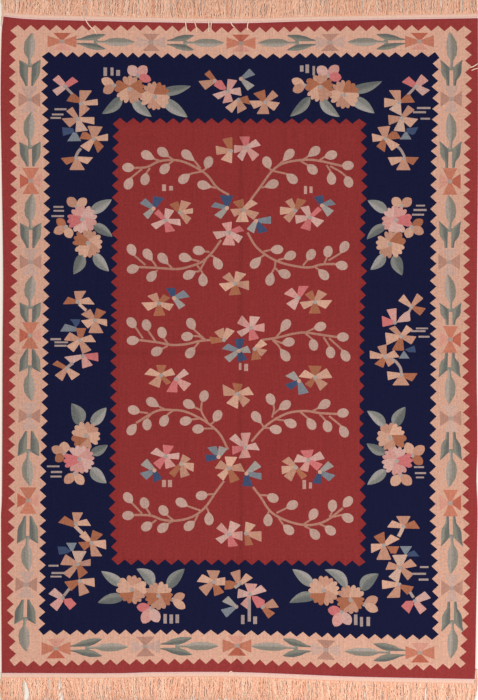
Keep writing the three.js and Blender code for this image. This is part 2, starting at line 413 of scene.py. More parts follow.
def along_line(motif, flower_at, line, on_side):
    """A motif moved to its place along a run, every point by the run's middle line where it lies."""
    along, across = (1, 0) if on_side else (0, 1)
    laid = []
    for shade, outline in motif:
        outline = outline.astype(float)
        outline[:, along] += flower_at
        outline[:, across] += np.interp(outline[:, along], *line)
        laid.append((shade, outline))
    return laid


def guard_run(rows, run, outer, line):
    """One run of the guard border."""
    motif = []
    for flower_at, twin_from, twin_to, bud_to, kind, grows in rows:
        outer_side = 1 if np.dot(sideways(np.array(grows)), outer) > 0 else -1
        pieces = sprig(twin_from, twin_to, bud_to, outer_side, run) + bow_flower(kind, outer_side, run)
        motif += along_line(turned(pieces, grows), flower_at, line, outer[1] == 0)
    return motif


guard_motifs = (
    guard_run(LEFT_GUARD, "left", LEFT, LEFT_LINE)
    + guard_run(RIGHT_GUARD, "right", RIGHT, RIGHT_LINE)
    + guard_run(TOP_GUARD, "top", UP, TOP_LINE)
    + guard_run(BOTTOM_GUARD, "bottom", DOWN, BOTTOM_LINE)
    + along_line(turned(bow_flower("orange", -1, "top"), RIGHT), 241, TOP_LINE, False)
    + along_line(turned(bow_flower("orange", 1, "bottom"), RIGHT), 237, BOTTOM_LINE, False)
)
print("guard border patches:", len(guard_motifs))

# %% [markdown]
# ## Flowers
#
# The dark border and the field share their flowers. A pinwheel flower has wedges, each narrow at the
# heart and cut off straight outside, and a filled flower has petals with two or three lobes that touch
# one another. A wedge is given by the two corners of its outer edge, read off an enlarged photograph.

# %% Flower motifs
def wedge(shade, across, down, first_across, first_down, last_across, last_down, root=2.0):
    """A petal from its flower's middle, twice root wide there, to an outer edge between two corners."""
    middle = np.array((across, down), float)
    first = np.array((first_across, first_down), float)
    last = np.array((last_across, last_down), float)
    aim = (first + last) / 2 - middle
    side = sideways(aim) / np.hypot(*aim)
    if np.dot(first - last, side) < 0:
        first, last = last, first
    start = middle + aim * 0.1
    return [(shade, np.array([
        start + side * root,
        first + (middle - first) * 0.05,
        first + (last - first) * 0.06,
        last + (first - last) * 0.06,
        last + (middle - last) * 0.05,
        start - side * root,
    ]))]


def flower(across, down, petals, heart="grey", root=2.0):
    """A pinwheel flower. Each row of petals: shade, then the two corners of the outer edge."""
    motif = []
    for shade, *corners in petals:
        motif += wedge(shade, across, down, *corners, root=root)
    return motif + round_patch(heart, across, down, 2.1, sides=8)


PETAL_ROOT = 2.8


def filled_flower(across, down, petals):
    """A flower of lobed petals. Each row: shade, direction in degrees, reach, spread in degrees."""
    middle = np.array((across, down), float)
    motif = []
    for shade, degrees, reach, spread in petals:
        lobes = 3 if spread > 60 else 2
        turns = np.linspace(-0.5, 0.5, 6 * lobes + 1)
        swell = 0.84 + 0.16 * np.abs(np.sin(math.pi * lobes * (turns + 0.5)))
        rim = [middle + aimed(degrees + turn * spread) * reach * far for turn, far in zip(turns, swell)]
        root = sideways(aimed(degrees)) * PETAL_ROOT
        motif.append((shade, np.vstack([middle + root, middle - root, *rim])))
    return motif + round_patch("grey", across, down, 2.3, sides=8)


def lobed_bud(across, down, lobes):
    """Round lobes about a grey heart. Each row of lobes: shade, its far end across and down, breadth."""
    heart = np.array((across, down), float)
    t = np.linspace(0, 1, 13)[:, None]
    motif = []
    for shade, far_across, far_down, breadth in lobes:
        reach = np.array((far_across, far_down)) - heart
        side = sideways(reach) / np.hypot(*reach)
        half = breadth / 2 * np.sin(math.pi * t ** 1.12) ** 0.62
        spine = heart + reach * t
        motif.append((shade, np.vstack([spine + side * half, (spine - side * half)[-2:0:-1]])))
    return motif + round_patch("grey", across, down, 2.1, sides=8)


def bars(rows, shade="bar_cream"):
    """Short plain bars of cream wool. Each row: left, top, right, bottom."""
    motif = []
    for row in rows:
        motif += bar(shade, *row)
    return motif


# %% [markdown]
# ## Dark border: sixteen groups
#
# The dark border has sixteen groups of flowers and five ideas: one for the corners, one beside them on
# the ends, one for the middle of an end, one on the sides, and one for the middle of a side. Each idea
# comes back turned over, but the weaver drew it afresh every time, so that its petals and leaves differ
# a little from place to place. Each group is written out where it stands, with its corners read off an
# enlarged photograph. Small plain bars of cream wool stand beside most of them.

# %% Helpers for the groups
LEAF_STEPS = 12
LEAF_TONES = {"deep": ("leaf_dark", "leaf_dusk", "leaf_mid"),
        "pale": ("leaf_mid", "leaf_fair", "leaf_light")}


def leaves(rows):
    """Two-toned leaves. Each row: base, tip, breadth, bend to one side, tone, side of its dark half."""
    t = np.linspace(0, 1, LEAF_STEPS + 1)[:, None]
    motif = []
    for base_across, base_down, tip_across, tip_down, breadth, bend, tone, dark_side in rows:
        base = np.array((base_across, base_down), float)
        aim = (tip_across, tip_down) - base
        side = sideways(aim) / np.hypot(*aim)
        spine = base + aim * t + side * bend * 4 * t * (1 - t)
        half = side * dark_side * breadth / 2 * np.sin(math.pi * t ** 0.74) ** 0.8
        dark, middle, light = LEAF_TONES[tone]
        for shade, inner in ((light, -1), (middle, -0.25), (dark, 0.1)):
            motif.append((shade, np.vstack([spine + half, (spine + half * inner)[-2:0:-1]])))
    return motif


# %% Corner groups
top_left_corner = (
    flower(65, 86.3, [("pink", 52.4, 79.9, 58.6, 74.8), ("hot_pink", 72.3, 76.7, 78.6, 81.6),
        ("pale_pink", 52.2, 90.2, 57.2, 96)], root=2.7)
    + stroke("bar_cream", [(66, 87.5), (73, 94.8)], 2.6)
    + patch("brown", (66.4, 101), (71, 94.2), (74.5, 93.8), (80.5, 98.8), (81, 103), (74.5, 102.6))
    + flower(80.9, 103.7, [("tan", 79.3, 90.3, 92.2, 90.5), ("peach", 97.5, 98.8, 98, 105.2),
        ("tan", 79, 118.5, 90.2, 108.6)])
    + flower(77.8, 119, [("tan", 66, 111.2, 72.6, 106.8), ("tan", 61.4, 118.4, 69.7, 127.6),
        ("peach", 94.3, 117, 94.3, 124.6), ("cream", 75.3, 132.2, 88.2, 130.5)])
    + patch("blue", (62.1, 127.2), (73, 128.3), (74.5, 131), (72.5, 133.2), (63, 136))
    + patch("blue_grey", (67.2, 141.3), (73, 132.3), (76.6, 132.6), (81.2, 141))
    + patch("brown", (79.7, 138.9), (82.3, 132.2), (86.7, 132.2), (93.5, 137.5), (92, 140))
    + flower(93.8, 139.1, [("tan", 87.3, 125.8, 103, 126.6), ("peach", 108, 133.6, 108, 141),
        ("brown", 97.6, 153.2, 104, 146.2), ("peach", 79.8, 146, 89, 152)])
    + stroke("bar_cream", [(81, 148.5), (78, 152), (75.3, 157.8)], 2.8)
    + flower(76.4, 158.2, [("brown", 60.6, 158, 66.6, 165), ("peach", 93.2, 157.2, 87.3, 164.2),
        ("tan", 69.2, 170, 85.1, 170)])
)
top_right_corner = (
    flower(416, 86.4, [("pink", 421.2, 74, 428.7, 80.8), ("hot_pink", 409, 76.2, 401.6, 82.2),
        ("pale_pink", 430.2, 90, 422.4, 95.8)], root=2.7)
    + stroke("bar_cream", [(415, 87.5), (407.5, 95.2)], 2.6)
    + patch("brown", (415, 102.4), (409.7, 94.2), (406.2, 94.6), (400.2, 100.2), (400.5, 103))
    + flower(399.4, 102.4, [("tan", 388.7, 90.2, 400.8, 90.2), ("peach", 384.2, 97.6, 384.2, 107.6),
        ("cream", 388.7, 109.3, 401.8, 116)])
    + flower(401.7, 118.2, [("tan", 407.9, 105, 414.8, 110), ("peach", 418.3, 118.8, 410.2, 127.7),
        ("tan", 388, 114.8, 389, 125.2), ("cream", 393.3, 130.8, 405.4, 131.9)])
    + patch("blue", (406.3, 128.4), (418.3, 127), (415, 133.6), (412.5, 135), (406.6, 132.6))
    + patch("blue_grey", (399.8, 139.4), (405, 131.8), (407, 132), (411.4, 139.4))
    + patch("brown", (401.1, 138.4), (396.6, 131.8), (392, 131.3), (385.8, 137.6), (388, 139.9))
    + flower(385.3, 138.6, [("tan", 377.2, 127.2, 390.4, 125.8), ("peach", 371.8, 133.3, 372.7, 142),
        ("brown", 376.2, 146.3, 384.8, 152.3), ("peach", 391.6, 151, 400, 144.8)])
    + stroke("bar_cream", [(397.5, 146.5), (401.3, 150.5), (404.6, 157)], 2.6)
    + flower(403.9, 158.5, [("peach", 387.6, 157.2, 391.7, 165.8), ("brown", 419, 157.2, 412.9, 165.3),
        ("tan", 395.9, 170.1, 410.8, 170.1)])
)
bottom_left_corner = (
    patch("brown", (64.7, 515.8), (58.1, 522.6), (74, 527.3), (76, 522.8))
    + flower(75.7, 523.7, [("tan", 71.9, 512.4, 83.2, 512.4), ("peach", 86.6, 518.8, 91.2, 526)])
    + stroke("cream", [(75, 526), (82.5, 533.5)], 3.6)
    + flower(91.3, 542.9, [("peach", 79, 536.4, 85.3, 530.8), ("brown", 92.5, 529.8, 103.2, 534.4),
        ("peach", 105.8, 539.6, 106.2, 549.6), ("tan", 91, 556.3, 102.5, 556.3),
        ("brown", 78, 542.2, 84.3, 550.8)])
    + patch("blue", (57.5, 546.5), (65.5, 546.7), (71.3, 551.1), (67, 553.5), (59, 554.6))
    + patch("blue_grey", (66, 542.8), (76.7, 542.8), (73, 551), (71, 551))
    + flower(78, 564.2, [("cream", 71.8, 551, 86.8, 551), ("tan", 60, 564.9, 65.6, 554),
        ("taupe", 90.6, 558.8, 90.6, 566), ("tan", 62.4, 573.2, 69.7, 578.4),
        ("brown", 88, 572.5, 78.6, 579.2)])
    + flower(79.7, 581, [("brown", 64, 581.6, 71.2, 591.3), ("peach", 94.4, 577.8, 94.8, 587.2),
        ("tan", 79, 596.4, 89.7, 592.4)])
    + stroke("bar_cream", [(69.5, 588.5), (63.8, 595.8)], 2.8)
    + flower(62.6, 598, [("pale_pink", 54.8, 587.8, 48.2, 594.1), ("pink", 49.5, 604.6, 57, 611.3)],
        root=2.7)
    + patch("hot_pink", (64, 599), (71, 598.2), (76.4, 604), (69.8, 610), (64.4, 603.5))
)
bottom_right_corner = (
    flower(403.7, 526.7, [("tan", 395.9, 516.1, 410.8, 516.1), ("peach", 392.3, 520.2, 387, 527.4),
        ("brown", 414.1, 520.1, 420.1, 528.9)])
    + stroke("cream", [(402.8, 527.5), (401, 532), (398.5, 536.5)], 3.6)
    + flower(384, 545.3, [("peach", 390.6, 534.3, 400, 539), ("brown", 373.3, 536.6, 384.3, 531.5),
        ("peach", 370.9, 543.7, 371.2, 553.2), ("tan", 376.2, 559.8, 391.5, 559.8)])
    + patch("brown", (386.3, 546.2), (399.3, 546.4), (396, 553.6), (391, 553.4))
    + patch("blue_grey", (399.8, 546.2), (412.2, 546.2), (406.3, 554.8), (405, 554.8))
    + patch("blue", (406.8, 556.4), (408, 553), (414.2, 550.2), (419.4, 556.4))
    + flower(400.2, 567.6, [("cream", 391.8, 555, 407.9, 554.5), ("tan", 410.6, 558.7, 417.2, 566.2),
        ("tan", 388.9, 561.5, 385.4, 569.9), ("tan", 407.6, 580.6, 413.8, 573.9),
        ("cream", 388.2, 576.6, 398.6, 583.6)])
    + flower(399.5, 584.6, [("peach", 381.9, 579.8, 382.2, 589.2), ("tan", 386.2, 597.9, 400, 597.6)])
    + patch("brown", (400.5, 584.3), (413.8, 586.6), (411, 592), (407.2, 594.8), (400, 587.5))
    + stroke("bar_cream", [(409.8, 592), (413.6, 597.6)], 2.8)
    + flower(414.8, 601.2, [("pale_pink", 424.7, 591.2, 431.1, 598.3), ("pink", 426.8, 609, 419.9, 614.5)],
        root=2.7)
    + patch("hot_pink", (413, 600.8), (406, 601), (401.2, 606.2), (409, 613.6), (413.4, 604.8))
)

# %% Bouquets of the ends
top_left_bouquet = (
    leaves([(122, 96.5, 102, 113.7, 10.6, -2, "deep", 1), (132.5, 98, 151.6, 116.7, 10.4, 1.7, "pale", -1),
        (160, 92.5, 191, 86, 9.6, 0.9, "deep", -1), (163, 99.5, 187.5, 117.2, 11.6, 0.3, "pale", -1)])
    + lobed_bud(137.8, 75.8, [("pale_pink", 128.4, 66.2, 10.6), ("pink", 146.6, 66.2, 10.4),
        ("hot_pink", 151.2, 80.4, 8.4)])
    + lobed_bud(114.5, 85.5, [("peach", 101.5, 79, 9), ("tan", 103.4, 92.6, 9.4)])
    + filled_flower(155, 97, [("tan", 336, 15.5, 62), ("brown", 41, 15.5, 66), ("peach", 265, 15.2, 68),
        ("tan", 186, 13.2, 72), ("peach", 114, 14.8, 68)])
    + filled_flower(129.5, 89, [("tan", 3, 13.6, 80), ("brown", 284, 15.2, 56), ("brown", 78, 15.4, 64),
        ("peach", 218, 14.6, 64), ("tan", 146, 15, 66)])
)
top_right_bouquet = (
    leaves([(310, 97, 290, 116.4, 9.8, -1.4, "deep", 1), (320.5, 98, 339.7, 116.8, 10.4, 2.2, "pale", -1),
        (350, 90.5, 382, 81.2, 10, 1.7, "deep", -1), (350.5, 98.5, 374.4, 113.2, 11.8, -1.2, "pale", -1)])
    + lobed_bud(328, 76, [("pale_pink", 317.4, 66.8, 10.6), ("pink", 338.4, 65.6, 10.2),
        ("hot_pink", 341.6, 77.8, 9.4)])
    + lobed_bud(305, 85.6, [("peach", 291.8, 79.4, 8.8), ("tan", 292.8, 91.2, 9)])
    + filled_flower(344.2, 95, [("tan", 333, 15.2, 62), ("brown", 43, 15.6, 72), ("peach", 264, 14.8, 64),
        ("tan", 187, 13.8, 74), ("peach", 114, 15, 68)])
    + filled_flower(320.2, 87, [("tan", 0, 13.2, 82), ("brown", 283, 15.4, 60), ("brown", 80, 13.6, 64),
        ("peach", 216, 15.2, 62), ("tan", 150, 14.8, 68)])
)
bottom_left_bouquet = (
    leaves([(123, 585.5, 101.2, 571.3, 10.4, 0.1, "pale", -1),
        (153.5, 586, 136.5, 568.9, 11.8, 3.5, "pale", -1),
        (167.5, 588, 184.6, 568.8, 11.6, -1.1, "deep", 1),
        (124, 597.2, 97.8, 602.8, 10.4, 1.2, "deep", -1)])
    + lobed_bud(151, 608.2, [("hot_pink", 136.6, 606.8, 9.2), ("pink", 142.8, 623.4, 11.2),
        ("pale_pink", 158.4, 622.2, 10.8)])
    + lobed_bud(172.5, 599.6, [("tan", 184.8, 594.4, 8.4), ("peach", 185.2, 608.4, 8.6)])
    + filled_flower(131.8, 589.6, [("tan", 12, 14.6, 74), ("peach", 80, 15.8, 60), ("tan", 143, 15, 68),
        ("brown", 217, 14, 74), ("peach", 291, 15.8, 72)])
    + filled_flower(158.5, 596, [("tan", 322, 14, 68), ("peach", 37, 14.8, 72), ("brown", 106, 14.4, 64),
        ("tan", 180, 14, 80), ("brown", 254, 13.8, 66)])
)
bottom_right_bouquet = (
    leaves([(313, 586, 292.4, 569.3, 11, 0.8, "pale", -1), (347, 588, 324.6, 569.8, 10.4, 4.3, "pale", -1),
        (361, 590, 378.6, 573.8, 13, -2, "deep", 1), (316.5, 596.5, 289.4, 602.8, 10.6, 2.5, "deep", -1)])
    + lobed_bud(341.8, 612, [("hot_pink", 327.8, 609.4, 9.8), ("pink", 334.4, 626.4, 11),
        ("pale_pink", 350.4, 624.6, 10.4)])
    + lobed_bud(364, 604.4, [("tan", 377.8, 597.6, 9.8), ("peach", 378, 610.8, 9)])
    + filled_flower(323.6, 590.5, [("tan", 12, 15, 72), ("peach", 80, 15.8, 64), ("tan", 144, 15.6, 66),
        ("brown", 218, 15.2, 76), ("peach", 294, 15.4, 72)])
    + filled_flower(350.6, 600, [("tan", 326, 15.2, 66), ("peach", 36, 15.4, 68), ("brown", 107, 13.8, 62),
        ("tan", 178, 14, 80), ("brown", 250, 14.2, 66)])
)

# %% Middle groups of the ends
top_middle = (
    flower(215, 81, [("brown", 204.2, 74.2, 209.6, 70), ("tan", 198.3, 81, 205.3, 90)])
    + patch("hot_pink", (213.8, 85.6), (216.4, 80.4), (221.6, 80.2), (226.4, 88), (225, 90), (220, 89.6))
    + flower(228, 91.2, [("pink", 227.6, 78.9, 237.5, 80.4), ("pale_pink", 240.4, 87.2, 241.6, 96),
        ("pale_pink", 212.2, 94.4, 218.5, 99.5), ("pink", 222.4, 103.4, 233.2, 101.4)])
    + flower(238.6, 99.8, [("brown", 247.4, 95.4, 251, 104.8), ("peach", 225, 107.3, 232, 113),
        ("tan", 237.3, 113.8, 247, 108.5)])
    + flower(265, 102.3, [("peach", 249, 100.5, 254, 109), ("brown", 253, 93.5, 265, 89.5),
        ("tan", 272.5, 90, 278.5, 96), ("peach", 280, 102.5, 274, 111), ("tan", 256.5, 114, 269.5, 114)])
    + flower(241, 78.8, [("blue_grey", 249.4, 68.4, 255.3, 74.8), ("grey_green", 247.5, 90.8, 254.8, 85.4)],
        heart="cream", root=1.6)
)
bottom_middle = (
    flower(213.9, 582, [("tan", 206.3, 570.2, 220.2, 570.6), ("peach", 196.6, 581.8, 202.4, 574),
        ("tan", 198.4, 587.4, 206.4, 596.2), ("brown", 214.3, 596.3, 224.5, 592.4)])
    + patch("peach", (215, 585.4), (215.4, 578.6), (225.2, 577.2), (225.6, 585.2))
    + patch("brown", (225.2, 580.8), (229.5, 580.3), (236.5, 582.5), (236.5, 586.5), (230.8, 589.1),
        (224.4, 589.6))
    + wedge("tan", 239, 584.5, 230, 572.6, 240.4, 569.4)
    + wedge("peach", 239.5, 584.5, 245.9, 573, 253, 578)
    + stroke("grey", [(234.8, 587.8), (240.8, 583)], 3)
    + flower(250.1, 594.3, [("pink", 244.4, 583.2, 257.7, 584), ("pale_pink", 261, 584.7, 266.9, 591.2),
        ("pale_pink", 238.3, 588.4, 237.2, 598.4)])
    + patch("pink", (249, 595), (240.4, 604), (248.5, 610), (250.4, 608), (251, 596))
    + patch("hot_pink", (251.6, 595.8), (257, 596), (264.6, 600.3), (264.6, 606.6), (257, 608),
        (252.6, 600))
    + flower(262.6, 607.2, [("tan", 272.6, 598.4, 279, 607.4), ("brown", 275.2, 613, 268.2, 618.7)])
    + flower(236.3, 606.7, [("grey_green", 221.9, 601.6, 228.4, 595.9),
        ("blue_grey", 220.7, 609.6, 226.5, 617.7)],
        heart="bar_cream", root=1.6)
)

# %% Bouquets of the sides
top_left_side = (
    leaves([(90.5, 212.5, 111.7, 199.5, 10.8, 0, "pale", -1),
        (93, 224.5, 112.4, 236.8, 9.8, -0.6, "deep", 1),
        (82.5, 254, 73.4, 274.3, 11.6, -1.5, "deep", 1), (94, 253.5, 108.9, 271.4, 10.8, 1, "pale", 1)])
    + lobed_bud(76.8, 206.6, [("tan", 67.4, 198, 9.8), ("peach", 86.6, 198.8, 9.2)])
    + filled_flower(82, 219.5, [("pink", 338, 14, 74), ("pale_pink", 54, 15.4, 70), ("pink", 118, 15, 58),
        ("pale_pink", 188, 14.2, 76), ("hot_pink", 262, 15, 64)])
    + lobed_bud(66, 226.9, [("brown", 56.8, 218.8, 8.4), ("tan", 53.8, 232.8, 9), ("peach", 71, 238, 9.4)])
    + filled_flower(88, 243, [("tan", 8, 13.6, 72), ("peach", 84, 14.4, 72), ("tan", 150, 14.8, 66),
        ("peach", 216, 15, 68), ("brown", 292, 15.4, 64)])
)
top_right_side = (
    leaves([(387, 212, 367.7, 200.4, 10.6, 0.8, "pale", 1),
        (386.5, 225, 366.7, 239.4, 9.2, 1.6, "deep", -1), (385, 254, 370.5, 269.8, 10, -1.4, "pale", -1),
        (394.5, 254.5, 402.2, 275.4, 12, 0.9, "deep", -1)])
    + lobed_bud(401.6, 206.4, [("peach", 392.2, 198.2, 9.6), ("tan", 411.4, 198.6, 9.6)])
    + filled_flower(396.3, 220.3, [("pale_pink", 326, 14.8, 64), ("pink", 22, 14.6, 64),
        ("pink", 256, 14.6, 66), ("pale_pink", 178, 14, 90), ("hot_pink", 90, 16, 58)])
    + lobed_bud(411.6, 227, [("brown", 423, 219.8, 8.6), ("tan", 423.6, 233.4, 9),
        ("peach", 406.6, 237.8, 9.4)])
    + filled_flower(390, 244.2, [("tan", 2, 13.4, 64), ("brown", 61, 16.2, 60), ("peach", 128, 15, 70),
        ("tan", 205, 14, 66), ("peach", 278, 14.2, 72)])
)
bottom_left_side = (
    leaves([(80.5, 425, 71.5, 403.4, 14.4, 2.3, "deep", -1), (91.5, 425, 106.4, 407.5, 11.4, 0, "pale", -1),
        (90.5, 453.8, 107.8, 445, 9.8, 0.9, "deep", -1), (91, 468, 106.4, 483.2, 11.8, 0.9, "pale", 1)])
    + lobed_bud(64.3, 453.6, [("peach", 64.2, 441.6, 10.4), ("tan", 51.6, 447.2, 9),
        ("brown", 55.6, 461.4, 8.8)])
    + stroke("peach", [(67.5, 446.5), (71.5, 450.5)], 3)
    + filled_flower(86.3, 435.8, [("tan", 32, 14, 76), ("peach", 103, 14, 68), ("tan", 184, 13.6, 62),
        ("brown", 243, 15.4, 58), ("peach", 311, 15, 78)])
    + lobed_bud(74.8, 473.4, [("tan", 64.6, 483, 9.6), ("peach", 83.4, 484.4, 9.6)])
    + filled_flower(79.3, 459.4, [("pale_pink", 352, 14.2, 84), ("pink", 64, 15.2, 62),
        ("pale_pink", 127, 15.4, 62), ("pink", 192, 14.4, 74), ("hot_pink", 264, 16, 62)])
)
bottom_right_side = (
    leaves([(385, 426.5, 367.1, 410.9, 10.4, 1.6, "pale", 1),
        (394, 426.5, 405.4, 406.9, 12, -0.9, "deep", 1), (385.5, 453.5, 366.6, 443.5, 9.6, -0.9, "deep", 1),
        (386, 470, 367.3, 484.8, 10.4, -0.3, "pale", -1)])
    + lobed_bud(412.4, 455.6, [("peach", 406.4, 442.6, 10), ("tan", 424.4, 446.2, 10),
        ("brown", 422.6, 464.2, 9.2)])
    + filled_flower(390.4, 437.6, [("tan", 341, 14.8, 66), ("peach", 45, 15.2, 66),
        ("brown", 108, 16.2, 58), ("tan", 184, 13.6, 66), ("peach", 264, 13.8, 84)])
    + lobed_bud(400.6, 474.8, [("peach", 391.6, 485.4, 10.4), ("tan", 411.4, 484.6, 10.4)])
    + filled_flower(396.7, 461.1, [("pale_pink", 14, 14.6, 66), ("pink", 310, 15.2, 62),
        ("pale_pink", 244, 15, 64), ("pink", 166, 14.4, 76), ("hot_pink", 87, 16.2, 64)])
)

# %% Middle groups of the sides
left_middle = (
    flower(77.6, 302, [("brown", 62.8, 304.4, 68, 296.6), ("tan", 73.9, 291.2, 86.5, 290.8),
        ("peach", 88.6, 297, 95, 304.6)])
    + stroke("cream", [(79, 304), (86.2, 310.5)], 3)
    + flower(94.7, 320.2, [("tan", 80.7, 314.4, 90.6, 308.8), ("brown", 96.3, 308, 106.5, 312),
        ("peach", 106.9, 319.3, 107.1, 326.4), ("tan", 88.2, 333, 103.8, 333.1),
        ("peach", 80.7, 320.4, 87.8, 328.6)])
    + patch("blue", (69.8, 319.3), (80.4, 319.3), (79, 324), (75.6, 327.6), (72, 321.5))
    + patch("blue_grey", (60.2, 331.5), (65, 323.8), (76.4, 327.2), (76.4, 331.5))
    + flower(80, 340.2, [("brown", 76, 328.1, 86.5, 328.1), ("peach", 91, 334.6, 96.2, 342.2),
        ("tan", 63.6, 340.4, 69.8, 331.8), ("peach", 66.2, 345.8, 73.6, 352.3),
        ("tan", 82.2, 354.2, 91.6, 350.1)])
    + flower(82.9, 356, [("hot_pink", 98, 352.4, 98.4, 361.6), ("pale_pink", 64, 356.8, 71.7, 364.2),
        ("pink", 82.2, 368.6, 93.1, 365.2)])
    + stroke("bar_cream", [(73, 362.8), (67, 367.6)], 3)
    + flower(66.7, 368.6, [("brown", 52.1, 364.6, 57.1, 360.3), ("tan", 54.6, 375.2, 62.4, 381.2),
        ("peach", 71.6, 380.4, 80.3, 374.2)])
)
right_middle = (
    flower(411.4, 306.8, [("peach", 398.1, 300.9, 403.9, 294.1), ("tan", 417, 293.1, 423.5, 298.4),
        ("brown", 426, 308.2, 420, 315.8)], root=1.7)
    + stroke("bar_cream", [(411, 308), (409, 312)], 2.4)
    + patch("pale_pink", (409.6, 310), (410.4, 320.5), (408.5, 321.4), (396.5, 322.6), (399.5, 317.5),
        (404, 313))
    + flower(394.8, 322.6, [("pink", 386.3, 309.6, 396.6, 308.1), ("hot_pink", 381.7, 315.6, 382.6, 327)])
    + flower(401.4, 336.6, [("tan", 388.7, 328.4, 395.2, 325.7), ("peach", 406.3, 325, 412.8, 329.6),
        ("tan", 416.6, 336.4, 411.3, 344.6), ("peach", 385, 332.4, 386.6, 345.4),
        ("brown", 391.6, 350.3, 404.2, 350.7)])
    + patch("blue", (404.4, 349.6), (414.4, 345.5), (416, 352.4), (409, 352.2))
    + patch("blue_grey", (398.7, 358.5), (403.4, 351.2), (404.6, 351.2), (409.5, 358.5))
    + flower(385.1, 357, [("tan", 377.1, 346.6, 386.6, 344.2), ("peach", 369.7, 350.4, 370, 358.7),
        ("peach", 394, 350, 399.7, 357.2), ("brown", 374.2, 364, 383.4, 367.8),
        ("tan", 388.3, 367, 395.8, 361.4)])
    + stroke("bar_cream", [(390.5, 358.3), (396, 361.8), (400.2, 367.5), (401.4, 373)], 2.8)
    + flower(401.4, 374.8, [("peach", 386.9, 371.2, 388, 380.4), ("brown", 417.8, 373.1, 412, 381.6),
        ("tan", 392.1, 385.3, 409.7, 385.3)])
)

# %% Bars and the whole border
border_bars = bars([
    (54.5, 108.3, 66.5, 110.2), (52, 113.6, 63.5, 115.3), (50.5, 117, 61, 118.8),
    (417, 107, 430.5, 109), (413, 111.2, 426, 113.2), (420.5, 117.8, 430, 119.6),
    (103.5, 67.5, 107, 76), (110.5, 67.5, 113.5, 75.5), (116.2, 70, 120, 75.8),
    (300, 65.5, 303.5, 71.5), (305.5, 64.5, 309, 73), (312.5, 66, 315, 75.5),
    (53.5, 206, 63.5, 207.8), (53.5, 210, 64, 211.6), (51.5, 215.2, 64, 217),
    (416, 204.8, 425, 206.4), (413.5, 209, 426.5, 211), (412, 213.8, 424, 215.6),
    (50.5, 338.2, 61, 340.2), (54.5, 341.4, 68, 343.2), (54.5, 344.8, 66.5, 346.6),
    (416, 327.6, 428, 329.2), (411, 330.2, 425.5, 332), (418.5, 335.8, 429.5, 337.6),
    (47, 465.5, 59.5, 467.2), (51, 471, 62, 473), (50.5, 475.6, 61.5, 477.4),
    (414, 466.2, 424, 468), (415, 472.2, 426, 474), (416, 476.6, 424, 478.2),
    (48.5, 564.8, 58.5, 566.6), (51.5, 572, 65, 574), (50.5, 575.8, 61.5, 577.4),
    (420, 566.2, 428.5, 568), (412, 572.8, 426, 574.8), (418.8, 578.6, 428.5, 580.6),
    (163.5, 614, 166.8, 623.5), (169.5, 614.5, 173, 623.5), (175.5, 614.5, 179, 623),
    (354, 614.5, 357.5, 625), (360, 617, 363, 626.5), (366.5, 617, 370, 626),
    (241, 615, 244.5, 624), (247.7, 598, 250.8, 621.5), (253.2, 616.5, 257, 624),
])
border_motifs = (
    top_left_corner + top_right_corner + bottom_left_corner + bottom_right_corner
    + top_left_bouquet + top_right_bouquet + bottom_left_bouquet + bottom_right_bouquet
    + top_middle + bottom_middle
    + top_left_side + top_right_side + bottom_left_side + bottom_right_side
    + left_middle + right_middle + border_bars
)
print("dark border patches:", len(border_motifs))

# %% [markdown]
# ## Red field: ten vines with berries
#
# Vines leave the middle of the field to the left and the right in five pairs. A vine is one stem with
# berries on short stalks. The weaver drew every pair afresh, so no two are the same, and each is a row
# of its own here. The last berry sits on the stem's own end, and a berry is drawn out to a point where
# its stalk begins. The points were read off an enlarged photograph.

# %% Vine motif
STEM_WIDTH = 2.3
STALK_WIDTH = 1.9
# Half of a berry's length, along its stalk, and of its breadth
BERRY_HALF = (5.8, 4.65)


def berry(across, down, *stalk):
    """An oval berry, drawn out to the first point of its stalk. The stalk's points follow two by two."""
    middle = np.array((across, down), float)
    path = np.array(stalk, float).reshape(-1, 2)
    towards = path[0] - middle
    reach = np.hypot(*towards)
    towards = towards / reach
    turns = np.linspace(-math.pi, math.pi, 18, endpoint=False)
    drawn_out = max(reach - BERRY_HALF[0], 0) * np.exp(-(turns / 0.5) ** 2)
    lengthwise = BERRY_HALF[0] * np.cos(turns) + drawn_out
    breadthwise = BERRY_HALF[1] * np.sin(turns)
    rim = middle + np.outer(lengthwise, towards) + np.outer(breadthwise, sideways(towards))
    inside = (middle + path[0]) / 2
    return stroke("stem", np.vstack([path[::-1], inside]), STALK_WIDTH) + [("berry", rim)]


def vine(stem, berries):
    """Stem points from the middle of the field outwards, and a row for each berry."""
    motif = stroke("stem", stem, STEM_WIDTH)
    for row in berries:
        motif += berry(*row)
    return motif


